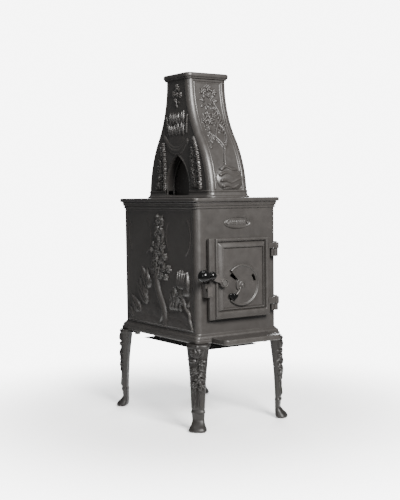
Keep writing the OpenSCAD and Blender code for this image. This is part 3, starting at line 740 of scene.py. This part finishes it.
def front_relief(relief):
    """A branch with leaves, fruit and blossom that grows from a rock."""
    relief.stroke([(-4, 756), (-3, 772), (2, 792), (10, 814), (4, 830), (-8, 846)], 4.6, 6.2, 3.8)
    relief.stroke([(8, 812), (22, 828), (33, 852), (30, 872), (20, 886)], 4.2, 6, 3)
    relief.stroke([(-8, 846), (2, 866), (16, 886), (30, 904), (30, 922), (18, 948), (4, 976)], 3.6, 6, 2.4, 60)
    relief.stroke([(-10, 846), (-22, 862), (-24, 884)], 2.2, 4, 1.6)
    relief.stroke([(20, 944), (2, 948), (-18, 944)], 1.8, 3.8, 1.3)
    relief.flowers([((2, 995), 12), ((-18, 984), 12), ((20, 982), 12), ((0, 974), 10)], 5.6)
    relief.leaves([((-14, 954), 17, 160), ((-20, 946), 17, 215), ((-8, 946), 15, 260), ((-16, 962), 14, 110),
                   ((4, 952), 14, 250), ((22, 956), 15, 20), ((12, 964), 14, 70), ((8, 940), 13, 290)],
                  9.5, 5, 0.35)
    relief.flowers([((-14, 914), 13), ((-10, 894), 12), ((-29, 896), 10), ((8, 912), 10), ((-24, 876), 10)], 6)
    for k in range(7):
        relief.leaf((10 + 4.4 * k, 912 - 6 * k), 21, 5.6, 66 - 4 * k, 6, 0.3)
        relief.leaf((4 + 5 * k, 906 - 6.4 * k), 17, 5.2, -104 - 3 * k, 5.4, 0.3)
    relief.flowers([((-24, 856), 9), ((-20, 842), 8), ((-30, 832), 8)], 5.4)
    relief.leaves([((-14, 866), 16, 150), ((-20, 850), 16, 215), ((-24, 838), 14, 250), ((-12, 856), 14, 290),
                   ((24, 866), 15, 190), ((32, 846), 15, 250), ((26, 836), 14, 215), ((-34, 820), 12, 230)],
                  9, 5, 0.35)
    relief.dome((4, 722), 48, 38, 9)
    for points, high in (([(-24, 748), (-8, 756), (12, 748), (32, 748), (44, 738)], 11),
                         ([(-30, 732), (-10, 738), (10, 728), (34, 732)], 11.5),
                         ([(-28, 716), (-12, 716), (6, 710), (28, 718), (40, 722)], 12),
                         ([(-22, 700), (-6, 702), (12, 696), (32, 704)], 10.5)):
        relief.stroke(points, 6, high, 4.2, 44)


def swag_relief(relief):
    """Garlands down both sides of the arch, a swag over it, tall blades and a spray above."""
    for line in ([(-72, 694), (-71, 760), (-76, 830)], [(124, 698), (120, 750), (108, 800), (94, 838)]):
        for k, (a, z) in enumerate(curve_through(line, 15)):
            relief.flower((a, z), 7.5, 7.4, 24 * k)
    for line, wide in (([(-106, 696), (-98, 750), (-84, 816)], 20), ([(94, 700), (90, 750), (88, 812)], 20)):
        for k, (a, z) in enumerate(curve_through(line, 16)):
            room = wide * (1 - 0.55 * k / 15)
            for side in (-1, 1):
                turn = 90 - side * rng.uniform(28, 66)
                relief.leaf((a + side * room * 0.35, z - 4), rng.uniform(16, 20), 9.5, turn, 6.4, 0.4)
            relief.leaf((a + rng.uniform(-0.4, 0.4) * room, z - 6), 17, 9, 90 + rng.uniform(-25, 25), 7, 0.4)
            if k % 3 == 1:
                relief.flower((a + rng.uniform(-0.4, 0.4) * room, z + 3), 8, 7.6, rng.uniform(0, 72))
    relief.dome((89, 836), 15, 13, 6.5)
    for drop, r, high in ((0, 7, 4.2), (-9, 4, 3.2), (9, 4, 3.4)):
        line = [(-70, 852 + drop / 2), (-44, 824 + drop), (-16, 811 + drop), (18, 812 + drop), (56, 836 + drop / 2)]
        relief.stroke(line, r, high, r, 60)
    relief.dome((-6, 842), 46, 26, 2.6)
    for side, top in ((-1, (-52, 912)), (1, (50, 900))):
        relief.stroke([(side * 54, 862), (side * 55, 884), top], 2.4, 3.4, 1.4)
    for k in range(9):
        a = -38 + 9.4 * k
        relief.leaf((a, 852 + 3 * (k % 2)), 44 + rng.uniform(-9, 9), 8, 91 - a * 0.12, 6.8, 0.5)
        relief.leaf((a * 0.9 + 3, 886 + 4 * (k % 2)), 40 + rng.uniform(-10, 8), 7.5, 92 - a * 0.15, 6, 0.5)
    for side in (-1, 1):
        for k in range(4):
            relief.leaf((side * (46 + 2 * k), 862 + 12 * k), 22, 8, 90 - side * 26, 5.4, 0.4)
    relief.stroke([(4, 940), (0, 962), (6, 990)], 1.8, 4, 1.3)
    relief.flowers([((4, 1000), 9), ((-13, 980), 9), ((22, 974), 9), ((6, 976), 7), ((-4, 960), 7)], 5.6)
    relief.leaves([((0, 950), 15, 200), ((6, 954), 15, -10), ((0, 986), 15, 150), ((8, 986), 15, 40)],
                  7, 4.8, 0.45)


def arch_bead(across, z, offset, radius, height):
    """Ridge that follows the arch's edge at a distance."""
    gap = np.full(across.shape, 1e9)
    for k in range(61):
        h = (ARCH_SPRING + ARCH_RISE) * k / 60
        y = float(arch_half(TOP_Z + h))
        gap = np.minimum(gap, np.hypot(np.abs(across) - y, z - TOP_Z - h))
    return height * np.exp(-((gap - offset) / radius) ** 2)


def tower_end(name, sign):
    """Curved front or rear panel: round corners, a flat border, a bead and a sunk field with relief."""
    z = np.linspace(PANEL_Z0, CAP_Z0, 236)
    flat = TOWER_HALF - TOWER_R
    turn = np.linspace(0, math.pi / 2, 11)
    xs = np.concatenate([-flat - TOWER_R * np.cos(turn[:-1]), np.linspace(-flat, flat, 92),
                         flat + TOWER_R * np.cos(turn[::-1][1:])])
    round_off = TOWER_R * (1 - np.sin(turn[:-1]))
    back = np.concatenate([round_off, np.zeros(92), round_off[::-1]])
    across, up = np.meshgrid(xs, z)
    depth = bell(up) - back[None, :]
    relief = Relief(across, up)
    front_relief(relief)
    frame_x, low, high = TOWER_HALF - 21, PANEL_Z0 + 12, CAP_Z0 - 7
    inside = np.minimum(frame_x - np.abs(across), np.minimum(up - low, high - up))
    sunk = np.clip(inside / 1.6, 0, 1)
    bead = np.exp(-((inside - 3.6) / 1.1) ** 2)
    lift = -2.6 * sunk + 1.0 * bead
    lift = lift + relief.h * np.clip(inside / 3, 0, 1)
    slope = np.gradient(depth, z, axis=0)
    size = np.sqrt(1 + slope ** 2)
    y = sign * (depth + lift / size)
    z_out = up - lift * slope / size
    keep = np.clip(np.minimum(up - PANEL_Z0, CAP_Z0 - up) / 2, 0, 1)
    sheet = np.stack([across, y, up + (z_out - up) * keep], -1)
    piece(f"{name}_casting", [loft(sheet, eased=False)], "relief", "stove", [name], 50)


def tower_side(name, sign):
    """Flat side panel, cut by the arch, with its relief."""
    z = np.linspace(PANEL_Z0, CAP_Z0, 230)
    share = np.linspace(0, 1, 92)
    hole, edge = arch_half(z), bell(z) - TOWER_R
    sheets = []
    for half in (-1, 1):
        across = half * (hole[:, None] + share[None, :] * (edge - hole)[:, None])
        up = np.repeat(z[:, None], len(share), 1)
        relief = Relief(across, up)
        swag_relief(relief)
        gap = (edge[:, None] - np.abs(across))
        border = -1.8 * np.exp(-((gap - 0.8) / 1.2) ** 2)
        near_arch = arch_bead(across, up, 2.2, 1.9, 2.4)
        clear = np.clip((gap - 3) / 3, 0, 1) * np.clip((up - PANEL_Z0 - 8) / 4, 0, 1)
        lift = border - 1.4 * np.clip((gap - 1) / 2, 0, 1)
        lift = lift + np.maximum(relief.h * clear, near_arch * np.clip(gap / 4, 0, 1))
        lift[:, 0] = np.where(hole > 0, 0.6, lift[:, 0])
        sheets.append(np.stack([sign * (TOWER_HALF + lift), -across, up], -1))
    shared = (sheets[0][:, 0, 0] + sheets[1][:, 0, 0]) / 2
    for sheet in sheets:
        sheet[:, 0, 0] = shared
    piece(f"{name}_casting", [backed(sheets, 0, sign * (TOWER_HALF - PANEL_THICK))], "relief", "stove", [name], 60)


def tower_foot():
    """Moulding round the tower's foot: flat flange, hollow, and a bead at the top."""
    z0 = TOP_Z
    rows = [(z0, FLANGE_OUT - 0.4)] + sweep((z0 + 0.6, FLANGE_OUT), (z0 + 2.6, FLANGE_OUT), "out", 2)
    rows += sweep((z0 + 3.2, FLANGE_OUT - 0.4), (z0 + 4.4, FLANGE_OUT - 1.6), "up", 3)
    rows += [(z0 + 5, FLANGE_OUT - 2.6)]
    rows += [(z0 + 5 + 11 * t, 1.2 + 3.2 * (1 - t) ** 2) for t in np.linspace(0.1, 1, 6)]
    rows += [(z0 + 17.2, 2.1), (z0 + 18.6, 2.5), (z0 + 20.2, 2.2), (z0 + 21.4, 1.2), (z0 + 22, 0.1)]
    loops = moulding(TOWER_HALF, FOOT, rows, lambda over: TOWER_R + over)
    obj = piece("tower_foot_casting", [loft(loops)], "cast_iron", "stove", ["tower_base"])
    notch = []
    for sign in (-1, 1):
        low, high = sign * (TOWER_HALF - 38), sign * (TOWER_HALF + 30)
        notch.append(box_shell((min(low, high), -ARCH_HALF, z0 + 8), (max(low, high), ARCH_HALF, z0 + 40)))
    cut(obj, notch)


def box_shell(lo, hi):
    x0, y0, z0 = lo
    x1, y1, z1 = hi
    low = [(x0, y0, z0), (x1, y0, z0), (x1, y1, z0), (x0, y1, z0)]
    return loft([low, [(x, y, z1) for x, y, _ in low]])


def cut(obj, shells):
    """Takes closed shells out of a piece."""
    tool = piece("cutter", shells, "cast_iron", "stove")
    mod = obj.modifiers.new("cut", "BOOLEAN")
    mod.operation = "DIFFERENCE"
    mod.solver = "EXACT"
    mod.object = tool
    bpy.context.view_layer.update()
    evaluated = obj.evaluated_get(bpy.context.evaluated_depsgraph_get())
    mesh = bpy.data.meshes.new_from_object(evaluated)
    obj.modifiers.clear()
    obj.data = mesh
    mesh.shade_smooth()
    mesh.set_sharp_from_angle(angle=math.radians(38))
    bpy.data.objects.remove(tool)


def tower_cap():
    """Thick round-nosed cap with a low step on top."""
    z0, z1 = CAP_Z0, CAP_Z1
    half_x, half_y, _ = span("tower_cap")[1]
    rows = [(z0, -5)] + sweep((z0, -4.5), (z0 + 2.5, -3.6), "out", 3)
    rows += [(z0 + 3.4, -3.6)] + sweep((z0 + 4.2, -3), (z0 + 8.5, 0), "out", 6)
    rows += sweep((z1 - 6.5, 0), (z1 - 1.2, -4.5), "up", 7)
    rows += [(z1 - 1.2, -9), (z1 - 1.2, -11), (z1 - 0.4, -12), (z1, -13)]
    loops = moulding(half_x, half_y, rows, lambda over: 18 + over * 0.6)
    piece("tower_cap_casting", [loft(loops)], "cast_iron", "stove", ["tower_cap"])


def niche(name, sign):
    """Lining of an arch: fluted walls that follow its edge, and a plain back."""
    deep, thick = 38, 5
    spring = TOP_Z + ARCH_SPRING
    heights = np.concatenate([[PANEL_Z0], np.linspace(spring, spring + ARCH_RISE, 40)])
    right = np.stack([arch_half(heights), heights], 1)
    outline = np.concatenate([right * (-1, 1), right[-2::-1]])
    way = outline - (0, TOP_Z + 30)
    way /= np.linalg.norm(way, axis=1)[:, None]
    loops = []
    for d, lift in ((0.2, 0), (3, 0), (4, -1.2), (6, -1.6), (8, -1.2), (9, 0), (27, 0), (28, -1), (30, -1.3),
                    (32, -1), (33, 0), (deep, 0), (deep + thick, thick), (8.2, thick)):
        loops.append([(sign * (TOWER_HALF - d), a, max(z, PANEL_Z0)) for a, z in outline + way * lift])
    front, rear = np.array(loops[-3]), np.array(loops[-2])
    back = loft([front + (sign * 0.4, 0, 0), rear])
    piece(f"{name}_casting", [loft(np.stack(loops, 1), eased=False), back], "cast_iron", "stove", [name])


# ---- door ----


def door_loop(left, right, low, high, y, r=1.5):
    half_a, half_b = (right - left) / 2, (high - low) / 2
    return [((left + right) / 2 + a, y, (low + high) / 2 + b) for a, b in rounded(half_a, half_b, r, 3)]


def sector(centre, r0, r1, a0, a1, y0, y1, steps=16):
    """Block over part of a ring in the door's plane, angles anticlockwise seen from the front."""
    turn = np.radians(np.linspace(a0, a1, steps))
    outline = [(centre[0] + r1 * math.cos(t), centre[1] + r1 * math.sin(t)) for t in turn]
    outline += [(centre[0] + r0 * math.cos(t), centre[1] + r0 * math.sin(t)) for t in turn[::-1]]
    return loft([[(x, y, z) for x, z in outline] for y in (y0, y1)])


DOOR_STEPS = [  # set in from the left, right, bottom and top, depth from the slab, corner radius
    (0, 0, 0, 0, 11, 2), (0, 0, 0, 0, 2.4, 2), (0.5, 0.3, 0.3, 0.3, 1.3, 2), (1.6, 0.6, 0.6, 0.6, 1, 2),
    (18.6, 0.9, 0.9, 0.9, 1, 1), (19.4, 1.2, 1.2, 1.2, -3.5, 2), (20.4, 2.2, 2.6, 2, -5.4, 2),
    (21.6, 4.4, 5.4, 3.4, -6, 2), (24.6, 12.5, 19, 7.4, -6, 2), (26, 14.6, 21, 9, -5.2, 2),
    (27, 15.8, 22.2, 10, -3, 2), (28, 16.6, 23, 11, 2.4, 1.5), (30, 17.6, 24, 13.4, 2.4, 1.5),
    (31.5, 18.2, 24.6, 15, 0.6, 1.5), (43, 21.5, 27.5, 25, -3, 1.5), (45, 22.6, 28.6, 26.8, -3.2, 1.5),
    (46.6, 23.6, 29.8, 28.2, -2.4, 1.5), (47.4, 24.2, 30.6, 29, 2.6, 1), (48.8, 25.4, 31.8, 30.2, 2.6, 1),
    (50, 26.4, 33, 31.2, 1.6, 1), (51, 27.4, 34, 32.2, 1.6, 1)]


def hinge_arms():
    """Knuckles and arms that carry the door on its pins."""
    x, y, r = 128, FACE_Y + 3, 8
    parts = []
    for joint, head in ((350, 372), (515, 533)):
        parts.append(lathe("z", (x, y, 0), rod_profile(r, joint + 0.4, head, 1.6)))
        middle, half = (joint + head) / 2, (head - joint) / 2 - 0.6
        steps = ((DOOR_X[1] - 8, 4.5, 0), (DOOR_X[1] + 4, 4.2, 0.6), (x - 2, 4, 1.5))
        parts.append(loft([[(at, y + a, middle + b) for a, b in rounded(deep, half - less, 1.8, 4)]
                           for at, deep, less in steps]))
    return parts


def door():
    """Door slab: wide flange at the latch side, raised frame, bevel, and a sunk panel with its air slots."""
    (x0, x1), (z0, z1), y = DOOR_X, DOOR_Z, SLAB_Y
    loops = [door_loop(x0 + left, x1 - right, z0 + low, z1 - high, y + d, r)
             for left, right, low, high, d, r in DOOR_STEPS]
    obj = piece("door_casting", [loft(loops)], "cast_iron", "door", ["door_panel"])
    for r0, r1, a0, a1 in ((24, 50, 117, 146), (32, 52, -20, 40)):
        cut(obj, [sector((AIR_X, AIR_Z), r0, r1, a0, a1, y - 8, y + 13)])
    boss = [(0, 3), (11.5, 3), (11.5, -5.5), (10.8, -6.8), (9.6, -7.4), (0, -7.4)]
    piece("door_hinge_arms", [lathe("y", (PIVOT_X, y, PIVOT_Z), boss)] + hinge_arms(), "cast_iron", "door")


def air_plate():
    """Turning air plate: a disc with a notch, a window, a bead round its rim and a small hub."""
    y, face = SLAB_Y + 1.2, -4
    centre = (AIR_X, y, AIR_Z)
    notch = (133, 225)
    turn = np.radians(np.linspace(notch[1] - 360, notch[0], 120))
    rim = [(20, 0), (20, face), (20.5, face), (52.6, face), (53.4, face), (54.4, face - 0.6)]
    rim += [(57.7 + 3.3 * math.cos(t), face - 0.4 - 3 * math.sin(t)) for t in np.linspace(math.pi, 0, 11)[1:-1]]
    rim += [(AIR_R, face + 1), (AIR_R, 0)]
    loops = [[(AIR_X + r * math.cos(t), y + d, AIR_Z + r * math.sin(t)) for r, d in rim] for t in turn]
    obj = piece("air_plate_casting", [loft(loops)], "cast_iron", "air_regulator", ["air_plate"])
    cut(obj, [sector((AIR_X, AIR_Z), 42, 51, 12, 38, y - 9, y + 4)])
    hub = [(5.1, 0.0), (20.6, 0.0), (20.6, face + 0.3), (20, face + 0.02), (19.5, face), (12.5, face), (12, face),
           (11.6, face - 1.2), (10.6, face - 1.8), (5.1, face - 1.8)]
    piece("air_plate_hub", [lathe("y", centre, hub, ring=True)], "cast_iron", "air_regulator")
    head = [(0, face - 1.4), (8.6, face - 1.4), (8.6, face - 3), (7.8, face - 4), (6.4, face - 4.1), (5.8, face - 3),
            (5.2, face - 3), (4.2, face - 4.4), (2.2, face - 5), (0, face - 5.1)]
    shank = [(0, 14), (4.9, 14), (4.9, face - 1.5), (0, face - 1.5)]
    piece("air_pivot_head", [lathe("y", centre, head), lathe("y", centre, shank)], "cast_iron", "door",
          ["air_pivot_bolt"])


def heart(share, steps=72):
    """Heart outline about its middle, shrunk by a share."""
    t = full_turn(steps)
    a = 16 * np.sin(t) ** 3
    b = 13 * np.cos(t) - 5 * np.cos(2 * t) - 2 * np.cos(3 * t) - np.cos(4 * t)
    return a * 0.98 * share, (b * 0.9 - 1) * share + 0.4


def air_knob():
    """Heart-shaped knob with a soft edge, and the thin rod that carries it."""
    back = span("air_knob")[1][1]
    x, _, z = centre_of("air_knob") + (0, 0, 1.2)
    loops = []
    for share, d in ((0.6, 0), (0.9, 0), (0.97, -0.8), (1, -2), (1, -4.4), (0.98, -5.4), (0.93, -6.3), (0.86, -6.8),
                     (0.7, -7.1), (0.4, -7.2)):
        a, b = heart(share)
        loops.append(np.stack([x + a, np.full(len(a), back + d), z + b], 1))
    piece("air_heart_knob", [loft(loops)], "black_knob", "air_regulator", ["air_knob"])
    y = FACE_Y - 4.2
    line = curve_through([(AIR_X - 9, y + 4.4, AIR_Z - 8), (AIR_X - 14, y + 1.6, AIR_Z - 14),
                          (AIR_X - 21, y, AIR_Z - 21), (AIR_X - 27, y, AIR_Z - 26)], 18)
    parts = [tube(line, [2.4] + [1.7] * 16 + [1.6]),
             lathe("y", (AIR_X - 9, y + 3.6, AIR_Z - 8), rod_profile(3.2, -1, 4.4, 1))]
    piece("air_lever_rod", parts, "dark_steel", "air_regulator", ["air_lever"])


LIFT = 32  # degrees the lever rests lifted by


def lever_point(a, b, d):
    """Point of the lifted lever: a along it and b across it from the pivot, and d behind its front."""
    c, s = cos_sin(LIFT)
    return PIVOT_X + a * c + b * s, FACE_Y - 7.6 + d, PIVOT_Z - a * s + b * c


def crank(a):
    """How far the lever steps back behind the door frame, towards the keeper's slot."""
    share = min(1, max(0, (-32 - a) / 8))
    return 5 * share * share * (3 - 2 * share)


def lever_stem():
    """Round stub that leaves the lever forwards and bends to the side, where the handle sits."""
    x, z, r = PIVOT_X - 36, HANDLE_Z, 6
    front = FACE_Y - 7.6
    way = [(x, front + 8.6, z), (x, front + 2, z)]
    way += [(x - r + r * math.cos(t), HANDLE_Y + r - r * math.sin(t), z) for t in np.linspace(0, math.pi / 2, 7)]
    way.append((x - 30, HANDLE_Y, z))
    return tube(way, [6.5] + [4.2] * 9, 20, (0, 0, 1), tips=False)


def latch():
    """Leaf-shaped lever with its eye, beak and the stub that carries the handle."""
    line = [(2, 0, 9), (-6, 0, 9.5), (-13, 0.4, 7.8), (-22, 0.8, 10.4), (-30, 0.8, 11.4), (-38, 0.4, 9.8),
            (-46, 0, 6.8), (-52, -0.5, 4.4)]
    upper = curve_through([(a, b + w) for a, b, w in line], 26)
    lower = curve_through([(a, b - w) for a, b, w in line], 26)[::-1]
    outline = np.vstack([upper, lower])
    middle = np.array([-25, 0.3])
    leaf = []
    for share, d in ((0.9, 5), (1, 4), (1, 1.6), (0.95, 0.5), (0.86, 0)):
        ring = middle + (outline - middle) * ((1 + share) / 2, share)
        leaf.append([lever_point(a, b, d + crank(a)) for a, b in ring])
    beak = np.array([(-55.5, 5), (-43.5, 5), (-43.5, -12), (-46, -18), (-50, -19), (-54, -17), (-55.5, -12)])
    middle = np.array([-49.5, -7])
    beaks = [[lever_point(a, b, d + 5) for a, b in middle + (beak - middle) * share]
             for share, d in ((0.9, 5), (1, 4.2), (1, 1.4), (0.9, 0.6))]
    eye = [(5.1, 5.2), (12.5, 5.2), (13, 4.6), (13, -1.6), (12.4, -3.4), (11.4, -4.3), (10.4, -4), (9.7, -2.8),
           (9.4, -1.2), (5.1, -1.2)]
    shells = [loft(leaf), loft(beaks), lathe("y", lever_point(0, 0, 0), eye, ring=True), lever_stem()]
    # The lever takes the lightened iron, a painted highlight.
    piece("latch_lever_casting", shells, "highlit", "latch", ["latch_lever"])


def handle():
    """Small ball pierced by the stub, and the large ball at its end."""
    lo, hi = span("handle_collar")
    r, x = (hi[2] - lo[2]) / 2, lo[0] + 11.5
    turn = np.linspace(0.36, math.pi - 0.4, 22)
    profile = [(3.6, r * math.cos(turn[0]))] + [(r * math.sin(t), r * math.cos(t)) for t in turn] + [(3.6, lo[0] - x)]
    piece("handle_collar_knob", [lathe("x", (x, HANDLE_Y, HANDLE_Z), profile, 56, ring=True)], "black_knob", "latch",
          ["handle_collar"])
    lo, hi = span("handle_ball")
    r = hi[2] - HANDLE_Z
    start = math.asin(min(1, 7.2 / r))
    flat = r * math.cos(start) + 0.4
    profile = [(0, flat), (6.4, flat)]
    profile += [(r * math.sin(t), r * math.cos(t)) for t in np.linspace(start, math.pi, 40)]
    piece("handle_ball_knob", [lathe("x", (lo[0] + r, HANDLE_Y, HANDLE_Z), profile, 64)], "black_knob", "latch",
          ["handle_ball"])


def keeper():
    """Keeper block with its slot, drawn from the side and bevelled."""
    lo, hi = span("latch_keeper")
    y0 = lo[1]
    outline = [(-HALF_D + 0.2, lo[2]), (y0 + 3, lo[2]), (y0, lo[2] + 4), (y0, lo[2] + 30), (y0 + 5.5, lo[2] + 30),
               (y0 + 5.5, lo[2] + 17), (y0 + 12.5, lo[2] + 17), (y0 + 12.5, hi[2]), (-HALF_D + 0.2, hi[2])]
    loops = [[(x, y, z) for y, z in outline] for x in (lo[0], hi[0])]
    # The keeper takes the lightened iron, a painted highlight.
    bevelled(piece("latch_keeper_casting", [loft(loops)], "highlit", "stove", ["latch_keeper"]), 1.2)


def flue_collar():
    """Stub pipe behind the firebox, with a flange, a neck and a rolled end."""
    lo, hi = span("flue_collar")
    middle_z = centre_of("flue_collar")[2]
    r, bore, long = (hi[2] - lo[2]) / 2, 60, hi[1] - HALF_D
    profile = [(bore, 0.1), (r - 1.5, 0.1), (r, 1.4), (r, 6), (r - 1.5, 7.8), (bore + 9, 8.2), (bore + 6.6, 10),
               (bore + 6, 13), (bore + 6, long - 8), (bore + 6.6, long - 7), (bore + 8, long - 5.6),
               (bore + 8.4, long - 3.6), (bore + 7.6, long - 1.4), (bore + 5.4, long), (bore + 1, long),
               (bore, long - 1)]
    piece("flue_collar_casting", [lathe("y", (0, HALF_D, middle_z), profile, 96, ring=True)], "cast_iron", "stove",
          ["flue_collar"])


def back_frame():
    """Raised bead round the plain back plate, outside the collar."""
    half_x, low, high = HALF_W - CORNER_R - 8, BODY_Z0 + 26, BODY_Z1 - 8
    middle, half_z = (low + high) / 2, (high - low) / 2
    loops = []
    for t in np.linspace(0, 2 * math.pi, 13)[:-1]:
        over, out = 3 * math.cos(t), 2.2 * math.sin(t)
        ring = rounded(half_x + over, half_z + over, 14 + over, 6)
        loops.append([(x, HALF_D + max(out, -1.2), middle + z) for x, z in ring])
    piece("back_plate_bead", [loft(loops, ring=True)], "cast_iron", "stove")


top_plate()
base_plate()
for way in (-1, 1):
    side_plate(way)
badge()
for end, way_y in (("front", -1), ("rear", 1)):
    for flank, way_x in (("left", -1), ("right", 1)):
        leg(f"leg_{end}_{flank}", way_x, way_y)
tower_foot()
for end, way in (("front", -1), ("rear", 1)):
    tower_end(f"tower_{end}_panel", way)
for flank, way in (("left", -1), ("right", 1)):
    tower_side(f"tower_{flank}_panel", way)
for flank, way in (("left", -1), ("right", 1)):
    niche(f"niche_{flank}", way)
tower_cap()
door()
air_plate()
air_knob()
latch()
handle()
keeper()
flue_collar()
back_frame()

# ---- studio ----


def camera():
    """Long lens from the front left corner, a little above the middle."""
    data = bpy.data.cameras.new("camera")
    data.lens = 67.8
    data.sensor_width = 36
    data.shift_y = 0.045
    cam = bpy.data.objects.new("camera", data)
    bpy.context.scene.collection.objects.link(cam)
    cam.location = (-1.624, -2.403, 0.675)
    turn, pitch, roll = math.radians(34), math.radians(4.7), math.radians(-0.7)
    look = Vector((math.sin(turn) * math.cos(pitch), math.cos(turn) * math.cos(pitch), -math.sin(pitch)))
    cam.rotation_mode = "QUATERNION"
    cam.rotation_quaternion = look.to_track_quat("-Z", "Y") @ Matrix.Rotation(roll, 4, "Z").to_quaternion()
    data.clip_end = 60
    bpy.context.scene.camera = cam


def area_light(name, place, target, size, power, colour=(1, 1, 1)):
    data = bpy.data.lights.new(name, "AREA")
    data.shape = "RECTANGLE"
    data.size, data.size_y = size
    data.energy = power
    data.color = colour
    light = bpy.data.objects.new(name, data)
    bpy.context.scene.collection.objects.link(light)
    light.location = place
    light.rotation_mode = "QUATERNION"
    light.rotation_quaternion = (Vector(target) - Vector(place)).to_track_quat("-Z", "Y")


def floor_pool():
    """Pale floor that fades into the background away from the object; the floor left near the object is darker than
    the background and stands as a painted soft shadow pool.
    """
    mesh = bpy.data.meshes.new("floor")
    r = 6
    mesh.from_pydata([(-r, -r, 0), (r, -r, 0), (r, r, 0), (-r, r, 0)], [], [(0, 1, 2, 3)])
    floor = bpy.data.objects.new("floor", mesh)
    floor.location.z = -0.0005
    bpy.context.scene.collection.objects.link(floor)
    mat, tree, shader = node_tree("pale floor")
    coord = tree.nodes.new("ShaderNodeTexCoord").outputs["Object"]
    pale = ramp(tree, noise(tree, coord, 6, 3), [(0.3, (0.9, 0.9, 0.9)), (0.7, (0.93, 0.93, 0.93))])
    length = node(tree, "VectorMath")
    length.operation = "LENGTH"
    tree.links.new(coord, length.inputs[0])
    # Fading to clear over 0.35 to 1.15 m paints a soft shadow pool round the stove against the brighter background.
    fade = node(tree, "MapRange", Value=length.outputs["Value"])
    fade.interpolation_type = "SMOOTHSTEP"
    fill(fade, From_Min=0.35, From_Max=1.15, To_Min=1, To_Max=0)
    fill(shader, Base_Color=pale, Roughness=0.9, Specular_IOR_Level=0.1, Emission_Color=(1, 1, 1, 1),
         Emission_Strength=0.45, Alpha=fade.outputs["Result"])
    mesh.materials.append(mat)


def studio():
    """White surroundings for the camera, dim ones for the castings, and soft boxes in front."""
    floor_pool()
    world = bpy.data.worlds.new("studio")
    bpy.context.scene.world = world
    world.use_nodes = True
    tree = world.node_tree
    dim = fill(tree.nodes["Background"], Color=(0.96, 0.98, 1, 1), Strength=0.2)
    white = node(tree, "Background", Strength=9)
    mix = node(tree, "MixShader")
    tree.links.new(node(tree, "LightPath").outputs["Is Camera Ray"], mix.inputs[0])
    tree.links.new(dim.outputs[0], mix.inputs[1])
    tree.links.new(white.outputs[0], mix.inputs[2])
    tree.links.new(mix.outputs[0], tree.nodes["World Output"].inputs["Surface"])
    area_light("key", (-0.35, -3.1, 2.2), (0, 0, 0.6), (1.3, 1.3), 430, (1, 0.985, 0.965))
    area_light("strip", (-2.6, -1.75, 1.5), (0, 0, 0.8), (0.25, 1.6), 22, (0.97, 0.99, 1))
    area_light("back", (2.0, 2.4, 1.9), (0, 0, 0.6), (1.6, 1.6), 150, (0.97, 0.99, 1))
    area_light("top", (-0.3, 0.4, 3.4), (0, 0, 0.6), (1.8, 1.8), 60)


camera()
studio()
